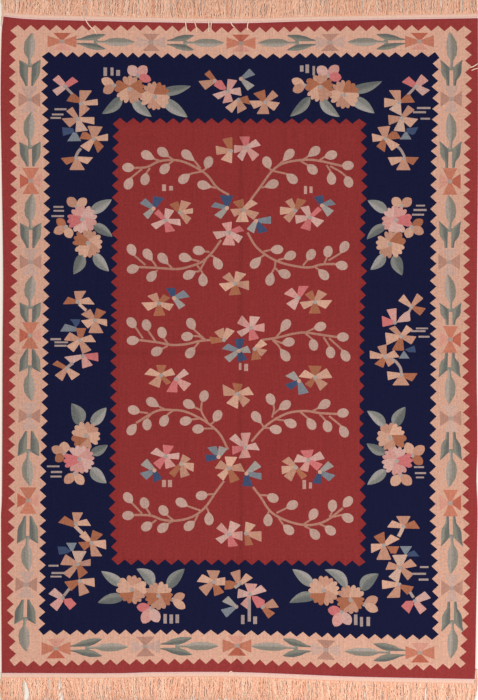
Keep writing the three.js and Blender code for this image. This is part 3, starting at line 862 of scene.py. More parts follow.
# %% First pair of vines
first_vines = (
    vine([(229, 195), (217, 187.5), (207.5, 175.5), (196, 167.5), (182.5, 161.5), (171, 160),
        (158.5, 161.5), (147, 167), (134, 168)],
        [(128, 167.5, 134, 168), (128.5, 184, 131.5, 177.5, 142, 169), (145, 179.5, 146.5, 173, 150, 168),
        (146.5, 155, 154.5, 159, 160, 161), (162.5, 152, 168.5, 156.5, 173, 159.5),
        (164.5, 169, 169, 164, 173, 161), (186.5, 154.5, 194.5, 161, 200.5, 168.5),
        (208.5, 162, 206, 168.5, 203, 170.5), (183.5, 179, 190, 174, 201.5, 171.5),
        (203, 185, 211.5, 187, 216, 188)])
    + vine([(251, 199.5), (261, 186), (272, 171), (283, 163.5), (300.5, 160), (317.5, 160.5), (342, 166)],
        [(348, 165.5, 342, 166), (267, 162, 269.5, 168.5, 272, 170.5), (289.5, 154, 283, 161, 276.5, 167),
        (315, 151, 308, 156.5, 303.5, 159.5), (331.5, 155, 324.5, 157, 318.5, 161),
        (292.5, 179, 286.5, 174, 273.5, 171), (312.5, 169.5, 307.5, 165, 300.5, 161),
        (331.5, 179, 330.5, 171.5, 326.5, 165), (348.5, 182, 346, 176.5, 340, 171.5, 330, 166),
        (273, 184, 264.5, 187, 261.5, 187.5)])
)

# %% Second pair of vines
second_vines = (
    vine([(221, 240), (212.5, 252), (202.5, 261.5), (191, 266), (178, 269), (158.5, 268), (139, 267)],
        [(132.5, 269, 139, 267), (131.5, 249.5, 134.5, 255.5, 145.5, 265),
        (147.5, 254, 152, 260.5, 156.5, 266.5),
        (162.5, 258, 168, 264, 172, 268), (151.5, 276.5, 156, 271.5, 157.5, 270),
        (184.5, 257.5, 192, 259.5, 199.5, 261.5), (198.5, 250.5, 205, 251.5, 209.5, 252),
        (188.5, 275, 195.5, 271.5, 199.5, 270.5, 206, 259.5), (203, 280.5, 202.5, 273, 197, 265),
        (218, 264, 214, 257, 209.5, 255)])
    + vine([(247.5, 232.5), (255.5, 246), (266, 255), (278, 261.5), (292, 265.5), (309, 267.5),
        (321, 264.5), (335.5, 264)],
        [(342, 265.5, 335.5, 264), (277.5, 249.5, 270.5, 250, 263.5, 251.5),
        (255, 263.5, 261, 257, 264.5, 255),
        (290.5, 255.5, 284, 258.5, 278, 260), (270, 280, 272, 272.5, 274.5, 268, 275.5, 261.5),
        (285, 274, 278, 271, 275.5, 268), (311, 254.5, 307.5, 260, 303, 265.5),
        (328, 251.5, 327, 257, 324.5, 263), (344.5, 246.5, 340.5, 253, 328.5, 260.5),
        (324, 275, 318.5, 269.5, 315, 267)])
)

# %% Third pair of vines
third_vines = (
    vine([(210.5, 340), (199.5, 341), (187, 344), (172, 345), (158.5, 342.5), (139, 340)],
        [(132.5, 340.5, 139, 340), (131.5, 322.5, 135.5, 327.5, 143, 338.5),
        (146.5, 325, 148, 330.5, 156, 342),
        (162, 332.5, 163.5, 337.5, 168, 344), (156.5, 351.5, 162.5, 348.5, 167.5, 346),
        (187, 336.5, 193, 336, 199, 336.5, 203, 339), (191, 323.5, 194, 329.5, 205, 339.5),
        (190, 353, 194.5, 347.5, 199, 342)])
    + vine([(262, 340), (278, 337.5), (292, 334), (304, 332.5), (316, 334), (336.5, 337)],
        [(343, 337, 336.5, 337), (286, 324.5, 280.5, 332, 275.5, 338), (289, 342, 282, 343, 272, 339.5),
        (285.5, 356, 280.5, 349, 278, 345, 273, 340.5), (320.5, 326.5, 314, 328.5, 305.5, 332.5),
        (313.5, 345, 312, 339, 305.5, 333.5), (330.5, 352.5, 329.5, 346.5, 323.5, 337),
        (345.5, 356, 342, 350, 329, 338)])
)

# %% Fourth pair of vines
fourth_vines = (
    vine([(228, 449.5), (220.5, 435), (211, 425.5), (199.5, 418), (185, 411.5), (171.5, 410), (156.5, 411),
        (136, 423)],
        [(131.5, 430, 136, 424), (133.5, 410, 139.5, 412, 148, 413), (147, 424.5, 147, 419, 151.5, 413.5),
        (151.5, 402, 159, 406.5, 166, 410), (164, 421, 167, 415, 173, 410.5),
        (188.5, 404, 195, 407.5, 200.5, 410), (204, 396, 202, 401.5, 201.5, 411.5, 207.5, 422),
        (185.5, 421, 192, 419.5, 199.5, 418.5), (217.5, 415.5, 214, 421.5, 211, 424),
        (198, 429, 204, 428.5, 213.5, 428.5)])
    + vine([(251.5, 441.5), (263.5, 428), (275.5, 419), (290, 412.5), (306.5, 411), (319.5, 413),
        (337, 414)],
        [(343, 413, 337, 414), (270.5, 399, 273.5, 405, 274, 410, 272, 417.5),
        (285.5, 405, 279, 409.5, 273.5, 414),
        (256, 416.5, 261, 423, 264, 427.5), (291, 423.5, 284, 420.5, 276.5, 419.5),
        (276, 429.5, 269.5, 428, 264.5, 428), (311.5, 424.5, 307.5, 418, 300.5, 412),
        (325, 404, 317.5, 408.5, 312.5, 411), (327.5, 426.5, 325.5, 420.5, 319.5, 414),
        (344, 432, 340.5, 425.5, 329, 416)])
)

# %% Fifth pair of vines
fifth_vines = (
    vine([(224, 481), (214.5, 494), (205, 507.5), (193, 516.5), (178, 520.5), (163.5, 520), (150.5, 515.5),
        (134, 515)],
        [(128, 515.5, 134, 515), (128, 497.5, 132, 503, 142, 513.5),
        (144.5, 503, 146.5, 508.5, 150.5, 514.5),
        (146.5, 526.5, 152, 523, 156.5, 520), (163.5, 510.5, 167, 515, 173, 520),
        (162.5, 528, 168.5, 523.5, 173, 521), (181, 502.5, 187.5, 506, 200.5, 510.5),
        (201.5, 495.5, 207.5, 494.5, 213.5, 494), (189, 526, 194.5, 521.5, 198, 514.5),
        (209, 519.5, 208.5, 512, 206.5, 507.5)])
    + vine([(253, 487), (261, 497.5), (269.5, 510.5), (280.5, 518), (295.5, 523.5), (311, 525),
        (326.5, 520.5), (343, 508)],
        [(348, 501.5, 343.5, 507), (273, 498, 267, 495.5, 259.5, 495), (292.5, 505, 286.5, 508, 276.5, 513),
        (268, 520.5, 268, 513.5, 269.5, 510.5), (289, 530, 283.5, 525, 278, 517),
        (313.5, 514, 310, 520, 304, 524), (315, 534.5, 310, 529, 304.5, 526),
        (332.5, 505.5, 332, 512, 329.5, 517), (330.5, 530.5, 325, 526.5, 319.5, 524),
        (348, 518, 341.5, 515, 333, 517)])
)
vines = first_vines + second_vines + third_vines + fourth_vines + fifth_vines
print("vine patches:", len(vines))

# %% [markdown]
# ## Red field: groups of flowers
#
# Between the vines lie eleven small groups, from a single flower to four. They use the same pinwheels,
# with blue trefoils whose heart is peach. Groups to the left and right answer each other, but each is
# drawn on its own.

# %% Upper groups of flowers
upper_groups = (
    flower(231, 151, [("brown", 222, 139, 232.5, 137), ("tan", 215.5, 145.5, 216.5, 155),
        ("peach", 220.5, 159.5, 232, 163.5)])
    + flower(246.5, 147.5, [("hot_pink", 239, 136.5, 250, 136.5), ("pale_pink", 255.5, 139, 261, 145.5),
        ("pink", 259.5, 154.5, 252.5, 161.5), ("pale_pink", 237, 156, 242.5, 161.5),
        ("pink", 234, 145, 234, 153.5)])
    + flower(153.5, 208.5, [("blue", 153, 196, 164.5, 198), ("blue_grey", 139.5, 203.5, 145.5, 198),
        ("grey_green", 143, 214, 148, 219.5)], heart="peach")
    + flower(165.5, 220.5, [("pale_pink", 165, 208, 174.5, 210.5), ("hot_pink", 154, 213.5, 158.5, 209),
        ("pale_pink", 180, 219, 181, 226), ("hot_pink", 165.5, 232.5, 175.5, 231),
        ("pale_pink", 150.5, 224, 156, 229.5)])
    + flower(180, 212.5, [("brown", 169, 204.5, 178, 201), ("tan", 181, 200, 191.5, 203),
        ("peach", 193, 208, 193, 213.5), ("tan", 191.5, 218, 186.5, 224.5)])
    + flower(295.5, 210.5, [("tan", 285, 201.5, 292, 198), ("brown", 297, 198, 307, 200.5),
        ("peach", 280, 206.5, 280, 215), ("tan", 283, 217, 289.5, 223)])
    + flower(322, 205.5, [("blue", 313.5, 197, 323, 195), ("blue_grey", 330.5, 199, 336, 204.5),
        ("grey_green", 334, 210.5, 327.5, 217)], heart="peach")
    + flower(310, 217.5, [("pale_pink", 300, 207.5, 309, 205.5), ("hot_pink", 318, 206.5, 322, 210),
        ("pale_pink", 295, 215, 296, 224), ("pale_pink", 324.5, 220.5, 317, 227.5),
        ("hot_pink", 300, 228, 310.5, 231)])
    + flower(227, 208, [("blue", 219.5, 195, 233.5, 195.5), ("blue_grey", 210.5, 207, 215, 202),
        ("grey_green", 214, 215, 221, 219)], heart="peach")
    + flower(243, 210, [("brown", 232.5, 202, 243.5, 198.5), ("peach", 250.5, 199, 258, 203.5),
        ("tan", 259.5, 212.5, 253.5, 220), ("peach", 235.5, 222, 249, 222), ("tan", 230, 209, 234.5, 217)])
    + flower(256, 221, [("blue_grey", 271, 216, 271, 224), ("blue", 258, 233.5, 268.5, 231),
        ("grey_green", 246.5, 229, 254, 233.5)], heart="peach")
    + flower(229.5, 232.5, [("pink", 221.5, 223.5, 232, 221.5), ("hot_pink", 239.5, 225.5, 244.5, 231),
        ("pale_pink", 243, 236.5, 238.5, 243.5), ("pink", 222, 245, 235.5, 245.5),
        ("pale_pink", 212.5, 231.5, 217, 239.5)])
)

# %% Middle groups of flowers
middle_groups = (
    flower(235, 283.5, [("tan", 222, 277.5, 229.5, 272), ("peach", 235.5, 271, 246.5, 274),
        ("tan", 249, 280.5, 249, 290.5), ("brown", 228.5, 295.5, 241.5, 294.5),
        ("peach", 218.5, 283.5, 225.5, 291.5)])
    + flower(159, 303.5, [("tan", 147, 296, 157, 292.5), ("brown", 163.5, 294, 170.5, 298),
        ("peach", 141, 302.5, 148, 311), ("peach", 174, 304, 169.5, 311),
        ("brown", 153, 316, 165.5, 315.5)])
    + flower(174, 298, [("blue", 165.5, 288, 175.5, 288), ("blue_grey", 183.5, 290, 190, 297),
        ("grey_green", 185.5, 305, 179, 309.5)], heart="peach")
    + flower(298.5, 298, [("hot_pink", 298.5, 286, 309, 286), ("pink", 283.5, 294, 292, 287.5),
        ("pale_pink", 286, 303.5, 295, 310.5)])
    + flower(315, 302, [("brown", 304.5, 294.5, 312.5, 290), ("tan", 318, 289.5, 327.5, 294),
        ("peach", 299.5, 302, 304, 309.5), ("peach", 332.5, 300, 325.5, 309),
        ("brown", 308.5, 313.5, 321, 313.5)])
    + flower(224, 340, [("tan", 214, 332, 224, 327.5), ("peach", 226, 327.5, 235, 331),
        ("brown", 209.5, 336.5, 211, 344)])
    + flower(251, 328, [("pink", 237, 323.5, 242, 315), ("pale_pink", 249.5, 316, 260.5, 317),
        ("pink", 264.5, 323, 264.5, 332), ("pale_pink", 236.5, 331.5, 241.5, 337),
        ("hot_pink", 248.5, 341, 259.5, 338.5)])
    + flower(254.5, 349, [("peach", 261, 339, 267.5, 344.5), ("tan", 267.5, 350, 261.5, 356.5),
        ("brown", 251, 360.5, 261.5, 359)])
    + flower(239, 351, [("blue", 234.5, 339, 245, 338.5), ("grey_green", 247.5, 345.5, 251, 353),
        ("blue_grey", 221.5, 349, 228, 343.5), ("grey_green", 224, 357, 229.5, 362.5),
        ("blue", 238, 362, 247.5, 359.5)], heart="peach")
    + flower(161, 375.5, [("brown", 156, 365, 166.5, 365), ("peach", 144, 374.5, 150.5, 368),
        ("peach", 171.5, 368, 175.5, 375), ("tan", 148, 383.5, 159.5, 388),
        ("brown", 171.5, 382.5, 166.5, 385)])
    + flower(176, 379, [("pale_pink", 184, 368.5, 189, 374), ("pink", 191.5, 383.5, 184, 391.5),
        ("hot_pink", 166, 392, 177.5, 392.5)])
    + flower(315, 377.5, [("brown", 308, 365.5, 322, 366), ("peach", 298.5, 377, 305, 369.5),
        ("peach", 326.5, 368, 332.5, 378), ("brown", 304.5, 384, 311, 388), ("tan", 328, 383.5, 320, 391)])
    + flower(299, 381, [("grey_green", 285, 376, 294, 371), ("blue", 285, 384.5, 291, 390),
        ("blue_grey", 298.5, 395, 309, 392.5)], heart="peach")
    + flower(237.5, 394, [("tan", 222.5, 384, 223.5, 396), ("brown", 232, 383, 243, 384),
        ("peach", 248.5, 386.5, 254, 395), ("tan", 250.5, 400, 243, 407.5), ("peach", 226, 403, 238, 409)])
)

# %% Lower groups of flowers
lower_groups = (
    flower(165.5, 456.5, [("hot_pink", 162.5, 444.5, 174, 446), ("pale_pink", 150, 453.5, 156.5, 447.5),
        ("pale_pink", 179.5, 452.5, 179, 459.5), ("pink", 176, 466, 165.5, 469),
        ("hot_pink", 153, 463, 160, 469.5)])
    + flower(181, 464, [("tan", 182.5, 454, 191, 459), ("peach", 194, 463, 193.5, 472),
        ("tan", 190, 475, 180.5, 478), ("brown", 168.5, 473, 174.5, 477.5)])
    + flower(154.5, 470.5, [("grey_green", 140.5, 465, 147, 458.5), ("blue_grey", 139.5, 473, 146.5, 480),
        ("blue", 153, 483, 162.5, 478.5)], heart="peach")
    + flower(308.5, 460.5, [("hot_pink", 300, 450.5, 314, 449.5), ("pale_pink", 293.5, 462.5, 297.5, 454),
        ("pale_pink", 320, 451, 325, 459), ("pink", 299, 469.5, 308, 472),
        ("hot_pink", 323, 464, 317, 471)])
    + flower(296, 467.5, [("tan", 281.5, 461.5, 289, 456.5), ("peach", 281.5, 466, 282, 474.5),
        ("tan", 283.5, 476, 291.5, 481.5), ("brown", 307.5, 476, 301.5, 479.5)])
    + flower(320, 472, [("grey_green", 328, 461, 334, 466.5), ("blue_grey", 335.5, 475, 329, 481.5),
        ("blue", 312, 483, 321, 484)], heart="peach")
    + flower(218.5, 457, [("blue_grey", 207, 447.5, 216.5, 446), ("grey_green", 219, 446, 228, 448.5),
        ("blue", 205.5, 454.5, 206.5, 462)], heart="peach")
    + flower(229, 468.5, [("peach", 224.5, 456.5, 237.5, 457), ("tan", 214.5, 468.5, 220.5, 460),
        ("tan", 240.5, 463, 245, 472), ("peach", 217, 475, 223.5, 481), ("brown", 230, 483.5, 240, 479.5)])
    + flower(246.5, 473.5, [("grey_green", 255, 460.5, 261.5, 467), ("blue_grey", 261.5, 473, 261.5, 480),
        ("blue", 242, 486, 253, 486.5)], heart="peach")
    + flower(245, 447.5, [("pale_pink", 229, 439, 235.5, 433.5), ("pink", 240.5, 433, 251, 432.5),
        ("pale_pink", 255.5, 442.5, 260, 450.5), ("pink", 238.5, 458.5, 251, 457.5),
        ("hot_pink", 232, 446, 232.5, 455)])
    + flower(229, 534.5, [("pink", 216, 528.5, 221.5, 522.5), ("pale_pink", 230, 520.5, 241, 525),
        ("pink", 242.5, 531, 242.5, 541), ("hot_pink", 228, 547, 238.5, 546),
        ("pale_pink", 215, 538.5, 221.5, 544)])
    + flower(246, 533.5, [("peach", 245.5, 521.5, 256, 525), ("tan", 261.5, 531, 261.5, 542),
        ("brown", 245, 545.5, 253.5, 545)])
)
field_bars = bars([
    (162, 184.5, 166, 191), (169, 186, 173, 190.5), (304, 186, 307, 194), (309.5, 186.5, 312.5, 193),
    (238.9, 363, 241.4, 370), (244.2, 363.8, 248, 371), (162, 480, 166, 487), (168, 480, 172, 487),
    (302.5, 480, 306, 489), (309, 482.5, 312, 488.5),
], shade="field_cream")
field_motifs = vines + upper_groups + middle_groups + lower_groups + field_bars
cartoon = grounds + guard_motifs + border_motifs + field_motifs
print("patches in the whole cartoon:", len(cartoon))

# %% [markdown]
# ## Weave the cloth
#
# The cloth is one thin sheet with its pattern woven in, so the pattern belongs in the mesh: each edge
# between two shades is an edge of faces, as sharp from near as from far. A constrained Delaunay
# triangulation does this. It takes the cloth's outline and every patch at once, cuts them where they
# overlap, and tells for each triangle which patches cover it. The last one gives the shade. The outline
# is read from the solid, and the rim is half round like a real selvedge.

# %% Outline of the solid
EDGE_STEP = 0.008
RIM_RADIUS = 0.0015
RIM_STEPS = 6


def solid_outline(node):
    """The outline of a flat solid's upper face, anticlockwise, in metres."""
    shape = bmesh.new()
    shape.from_mesh(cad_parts[node].data)
    bmesh.ops.remove_doubles(shape, verts=shape.verts, dist=1e-6)
    upper = {face for face in shape.faces if face.normal.z > 0.9}
    following = {
        loop.vert: loop.link_loop_next.vert
        for face in upper
        for loop in face.loops
        if any(other not in upper for other in loop.edge.link_faces)
    }
    walk = [next(iter(following))]
    while following[walk[-1]] is not walk[0]:
        walk.append(following[walk[-1]])
    outline = np.array([vert.co.xy for vert in walk])
    shape.free()
    return outline


def divided(outline, step):
    """The same outline with a point at every step or less. Its corners stay."""
    rows = []
    for start, end in zip(outline, np.roll(outline, -1, axis=0)):
        parts = max(1, math.ceil(np.hypot(*(end - start)) / step))
        rows.append(start + (end - start) * np.arange(parts)[:, None] / parts)
    return np.vstack(rows)


def drawn_in(outline, distance):
    """An anticlockwise outline, moved inwards. distance is one number, or one for each point."""
    ahead = np.roll(outline, -1, axis=0) - outline
    ahead /= np.hypot(*ahead.T)[:, None]
    both = ahead + np.roll(ahead, 1, axis=0)
    inward = np.column_stack([-both[:, 1], both[:, 0]])
    return outline + inward * (2 * distance / np.sum(both ** 2, axis=1))[:, None]


cloth_corners = solid_outline("kilim_cloth")
selvedge = divided(cloth_corners, EDGE_STEP)
print("outline points:", len(cloth_corners), "and divided:", len(selvedge))

# %% Cut the patches into triangles
GRID_STEP = 0.011
GRID_CLEAR = 0.006
MERGE = 0.03


def inside(outline, places):
    """Which of the places lie inside an outline."""
    within = np.zeros(len(places), bool)
    for start, end in zip(outline, np.roll(outline, -1, axis=0)):
        crossed = (start[1] > places[:, 1]) != (end[1] > places[:, 1])
        rise = (end[1] - start[1]) or 1.0
        meets = start[0] + (places[:, 1] - start[1]) / rise * (end[0] - start[0])
        within ^= crossed & (places[:, 0] < meets)
    return within


def anticlockwise(outline):
    ahead = np.roll(outline, -1, axis=0)
    area = np.sum(outline[:, 0] * ahead[:, 1] - ahead[:, 0] * outline[:, 1])
    return outline if area > 0 else outline[::-1]


rng = np.random.default_rng(44)
outlines = [drawn_in(selvedge, RIM_RADIUS)] + [anticlockwise(on_cloth(outline)) for _, outline in cartoon]
starts = np.cumsum([0] + [len(outline) for outline in outlines])
columns = np.arange(cloth_low.x, cloth_high.x, GRID_STEP)
rows = np.arange(cloth_low.y, cloth_high.y, GRID_STEP)
grid = np.stack(np.meshgrid(columns, rows), axis=-1).reshape(-1, 2)
grid += rng.uniform(-0.25, 0.25, grid.shape) * GRID_STEP
grid = grid[inside(drawn_in(cloth_corners, GRID_CLEAR), grid)]
flat_points, _, triangles, sources, _, owners = delaunay_2d_cdt(
    [Vector(place) for place in np.vstack([*outlines, grid]) * 1000],
    [],
    [list(range(start, end)) for start, end in zip(starts, starts[1:])], 0,
    MERGE,
    True,
)
covered = [number for number, patches in enumerate(owners) if patches]
flat_faces = np.array([triangles[number] for number in covered])
top_patch = np.array([max(owners[number]) for number in covered])
flat_places = np.array(flat_points) / 1000
print("points:", len(flat_places), "triangles:", len(flat_faces))

# %% [markdown]
# The upper face rises and falls by a few tenths of a millimetre, as a real cloth lies. The underside has
# the same triangles and shades, because a kilim shows its pattern on both sides, and it lies flat on the
# floor. Rings of points join the two round the rim. Each patch gets a small difference in tone, and so
# does each triangle's corner in the mesh's colour attribute. The UV map is only for baking: the upper
# face on the left and the underside, narrower, on the right, so that no two faces share a place.

# %% Cloth mesh
CLOTH_HEIGHT = cloth_high.z - cloth_low.z
LIE_HEIGHT = 0.0004
LIE_SCALE = 7.0
TONE_SPREAD = 0.03
# The guard's ground grows lighter towards both ends: partly paler wool, partly painted light
END_PALENESS = 0.13
FACE_SHARE = 0.725
UNDER_START = 0.735


def lie(places):
    """How far the upper face lies above its mean height at each place."""
    waves = [noise.noise(Vector((x * LIE_SCALE, y * LIE_SCALE, 0.0))) for x, y in places]
    return np.array(waves) * LIE_HEIGHT


def rim_rings(top_heights):
    """Rings of points round the rim, between the underside's edge and the upper face's."""
    rings = []
    for step in range(1, RIM_STEPS):
        turn = math.pi * step / RIM_STEPS
        ring = drawn_in(selvedge, RIM_RADIUS * (1 - math.sin(turn)))
        rings.append(np.column_stack([ring, top_heights * (1 - math.cos(turn)) / 2]))
    return rings


def bake_places(places, under):
    """Places on the cloth as UV. under says which of them belong to the underside."""
    share = (places - (cloth_low.x, cloth_low.y)) / (cloth_high.x - cloth_low.x, cloth_high.y - cloth_low.y)
    share = 0.002 + 0.996 * share
    left = np.where(under, UNDER_START, 0.0)
    width = np.where(under, 1 - UNDER_START, FACE_SHARE)
    return np.column_stack([left + share[:, 0] * width, share[:, 1]])


edge_points = np.zeros(len(selvedge), int)
for number, inputs in enumerate(sources):
    for source in inputs:
        if source < len(selvedge):
            edge_points[source] = number
flat_count = len(flat_places)
heights = CLOTH_HEIGHT + lie(flat_places)
upper_points = np.column_stack([flat_places, heights])
under_points = np.column_stack([flat_places, np.zeros(flat_count)])
rings = rim_rings(heights[edge_points])
vertices = np.vstack([upper_points, under_points, *rings])
ring_points = [edge_points + flat_count]
for step in range(len(rings)):
    ring_points.append(2 * flat_count + step * len(selvedge) + np.arange(len(selvedge)))
ring_points += [edge_points]
rim_faces = []
for lower, higher in zip(ring_points, ring_points[1:]):
    rim_faces.append(np.column_stack([lower, np.roll(lower, -1), np.roll(higher, -1), higher]))
faces = flat_faces.tolist() + (flat_faces[:, ::-1] + flat_count).tolist() + np.vstack(rim_faces).tolist()

tones = 1 + rng.normal(0, TONE_SPREAD, len(cartoon) + 1)
tones[: len(grounds) + 1] = 1
dyes = np.array([linear("band_red")] + [linear(shade) for shade, _ in cartoon]) * tones[:, None]
dyes = np.column_stack([dyes, np.ones(len(dyes))])
rim_count = len(rim_faces) * len(selvedge)
face_dyes = np.vstack([dyes[top_patch], dyes[top_patch], np.tile(dyes[0], (rim_count, 1))])
face_middles = flat_places[flat_faces].mean(axis=1)
# Lighter towards both ends of the cloth: partly paler wool, partly painted light
paler = 1 + END_PALENESS * (face_middles[:, 1] / cloth_high.y) ** 2
paler = np.where(top_patch == 1, paler, 1.0) * 1.01
face_dyes[: 2 * len(flat_faces), :3] *= np.tile(paler, 2)[:, None]
half_rim = rim_count // 2
face_under = np.repeat([False, True, True, False], [len(flat_faces), len(flat_faces), half_rim, half_rim])
face_sizes = np.repeat([3, 4], [2 * len(flat_faces), rim_count])

cloth_mesh = bpy.data.meshes.new("kilim_woven_cloth")
cloth_mesh.from_pydata(vertices.tolist(), [], faces)
dye = cloth_mesh.color_attributes.new("dye", "FLOAT_COLOR", "CORNER")
dye.data.foreach_set("color", np.repeat(face_dyes, face_sizes, axis=0).ravel())
corner_points = np.concatenate([flat_faces.ravel(), flat_faces[:, ::-1].ravel() + flat_count,
        np.vstack(rim_faces).ravel()])
bake_map = cloth_mesh.uv_layers.new(name="OFBake")
corner_uv = bake_places(vertices[corner_points, :2], np.repeat(face_under, face_sizes))
bake_map.data.foreach_set("uv", corner_uv.ravel())
cloth_mesh.shade_smooth()
cloth = bpy.data.objects.new("kilim_woven_cloth", cloth_mesh)
bpy.context.collection.objects.link(cloth)
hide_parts("kilim_cloth")
print("faces of the cloth:", len(cloth_mesh.polygons), "loose or wrong:", cloth_mesh.validate())

# %% [markdown]
# ## Wool and weave as node groups
#
# Up close, a flat weave is rows of small oval grains. Each warp makes a rib along the cloth, and the
# wefts cross it as fine threads that step by half a thread from one rib to the next. The node group
# works that pattern out from a place on the cloth, and the materials paint shade into its valleys. A
# second group gives the unevenness that shows from a step away: ribs that are a little darker or
# lighter, bands of weft from different hanks, and single threads. A third paints shade along the two
# lines where the cloth lay folded. All put out plain values, and each material decides what they do.

# %% Helpers for node trees
def add(tree, kind, inputs=None, **settings):
    """A node with its settings made. Inputs take a value, or a socket to join."""
    made = tree.nodes.new(kind)
    for name, value in settings.items():
        setattr(made, name, value)
    for name, value in (inputs or {}).items():
        if isinstance(value, bpy.types.NodeSocket):
            tree.links.new(value, made.inputs[name])
        else:
            made.inputs[name].default_value = value
    return made


def calc(tree, operation, first, second=0.0):
    return add(tree, "ShaderNodeMath", {0: first, 1: second}, operation=operation).outputs[0]


def soft_noise(tree, place, scale, detail=2.0):
    """Noise from 0 to 1 at a place. scale is one number, or three for noise drawn out along an axis."""
    if not isinstance(scale, tuple):
        scale = (scale, scale, scale)
    stretched = add(tree, "ShaderNodeVectorMath", {0: place, 1: scale}, operation="MULTIPLY").outputs[0]
    inputs = {"Vector": stretched, "Scale": 1.0, "Detail": detail}
    return add(tree, "ShaderNodeTexNoise", inputs).outputs["Fac"]


def shader_group(name, inputs, outputs):
    """A new node group. Rows of inputs: name, socket type, value. Rows of outputs: name."""
    tree = bpy.data.node_groups.new(name, "ShaderNodeTree")
    for label, kind, value in inputs:
        socket = tree.interface.new_socket(label, in_out="INPUT", socket_type=kind)
        socket.default_value = value
    for label in outputs:
        tree.interface.new_socket(label, in_out="OUTPUT", socket_type="NodeSocketFloat")
    return tree, tree.nodes.new("NodeGroupInput").outputs, tree.nodes.new("NodeGroupOutput").inputs


def fill(tree, target, source):
    tree.links.new(source, target)


# %% Weave group
FLOAT, VECTOR = "NodeSocketFloat", "NodeSocketVector"
weave_group, given, gives = shader_group(
    "weft_faced_weave",
    [("Place", VECTOR, (0, 0, 0)), ("Warp Pitch", FLOAT, 0.0025), ("Weft Pitch", FLOAT, 0.001),
     ("Wander", FLOAT, 0.0005)],
    ["Height", "Valley"],
)
wander = calc(weave_group, "SUBTRACT", soft_noise(weave_group, given["Place"], 90.0), 0.5)
wander = calc(weave_group, "MULTIPLY", wander, given["Wander"])
place_parts = add(weave_group, "ShaderNodeSeparateXYZ", {0: given["Place"]}).outputs
across_cloth = calc(weave_group, "ADD", place_parts["X"], wander)
along_cloth = calc(weave_group, "ADD", place_parts["Y"], wander)
warps = calc(weave_group, "DIVIDE", across_cloth, given["Warp Pitch"])
rib = calc(weave_group, "SINE", calc(weave_group, "MULTIPLY", calc(weave_group, "FRACT", warps), math.pi))
odd_warp = calc(weave_group, "FLOORED_MODULO", calc(weave_group, "FLOOR", warps), 2.0)
wefts = calc(weave_group, "DIVIDE", along_cloth, given["Weft Pitch"])
wefts = calc(weave_group, "ADD", wefts, calc(weave_group, "MULTIPLY", odd_warp, 0.5))
thread = calc(weave_group, "SINE", calc(weave_group, "MULTIPLY", calc(weave_group, "FRACT", wefts),
        math.pi))
grain = calc(weave_group, "ADD", calc(weave_group, "MULTIPLY", thread, 0.45), 0.55)
weave_height = calc(weave_group, "MULTIPLY", calc(weave_group, "POWER", rib, 0.6), grain)
fill(weave_group, gives["Height"], weave_height)
fill(weave_group, gives["Valley"], calc(weave_group, "SUBTRACT", 1.0, weave_height))
print("nodes in the weave:", len(weave_group.nodes))

# %% Unevenness group
uneven_group, given, gives = shader_group(
    "handspun_unevenness",
    [("Place", VECTOR, (0, 0, 0)), ("Ribs", FLOAT, 0.1), ("Bands", FLOAT, 0.1), ("Threads", FLOAT, 0.1),
     ("Specks", FLOAT, 0.1)],
    ["Shade"],
)
shade = 1.0
for strength, scale, detail in (
    ("Ribs", (300.0, 14.0, 1.0), 1.0), ("Bands", (3.0, 110.0, 1.0), 3.0),
    ("Threads", (60.0, 900.0, 1.0), 2.0), ("Specks", (210.0, 190.0, 1.0), 2.0),
):
    part = calc(uneven_group, "SUBTRACT", soft_noise(uneven_group, given["Place"], scale, detail), 0.5)
    part = calc(uneven_group, "MULTIPLY", part, given[strength])
    shade = calc(uneven_group, "ADD", part, shade)
fill(uneven_group, gives["Shade"], shade)
print("nodes in the unevenness:", len(uneven_group.nodes))

# %% Painted fold shade group
fold_shade_group, given, gives = shader_group(
    "painted_fold_shade",
    [("Place", VECTOR, (0, 0, 0)), ("Lengthwise At", FLOAT, 0.0), ("Crosswise At", FLOAT, 0.0),
     ("Reach", FLOAT, 0.006), ("Lengthwise Depth", FLOAT, 0.1), ("Crosswise Depth", FLOAT, 0.1)],
    ["Shade"],
)
fold_parts = add(fold_shade_group, "ShaderNodeSeparateXYZ", {0: given["Place"]}).outputs
shade = 1.0
for part, fold in (("X", "Lengthwise"), ("Y", "Crosswise")):
    away = calc(fold_shade_group, "SUBTRACT", fold_parts[part], given[fold + " At"])
    away = calc(fold_shade_group, "DIVIDE", away, given["Reach"])
    near = calc(fold_shade_group, "EXPONENT", calc(fold_shade_group, "MULTIPLY", calc(fold_shade_group, "POWER", away, 2.0),
            -1.0))
    shade = calc(fold_shade_group, "SUBTRACT", shade, calc(fold_shade_group, "MULTIPLY", near, given[fold + " Depth"]))
fill(fold_shade_group, gives["Shade"], shade)
print("nodes in the folds:", len(fold_shade_group.nodes))

# %% Woven wool
def grouped(tree, group, **inputs):
    """A node group placed in a material. Words of an input's name are joined by an underscore."""
    made = add(tree, "ShaderNodeGroup", node_tree=group)
    for name, value in inputs.items():
        socket = made.inputs[name.replace("_", " ")]
        if isinstance(value, bpy.types.NodeSocket):
            tree.links.new(value, socket)
        else:
            socket.default_value = value
    return made.outputs


def new_material(name, roughness, sheen):
    """A material with its tree, its Principled shader and the place on the piece."""
    material = bpy.data.materials.new(name)
    material.use_nodes = True
    tree = material.node_tree
    shader = tree.nodes["Principled BSDF"]
    shader.inputs["Roughness"].default_value = roughness
    shader.inputs["Specular IOR Level"].default_value = 0.08
    shader.inputs["Sheen Weight"].default_value = sheen
    shader.inputs["Sheen Roughness"].default_value = 0.5
    return material, tree, shader, add(tree, "ShaderNodeTexCoord").outputs["Object"]


def shaded(tree, colour, shade):
    return add(tree, "ShaderNodeVectorMath", {0: colour, "Scale": shade}, operation="SCALE").outputs[0]


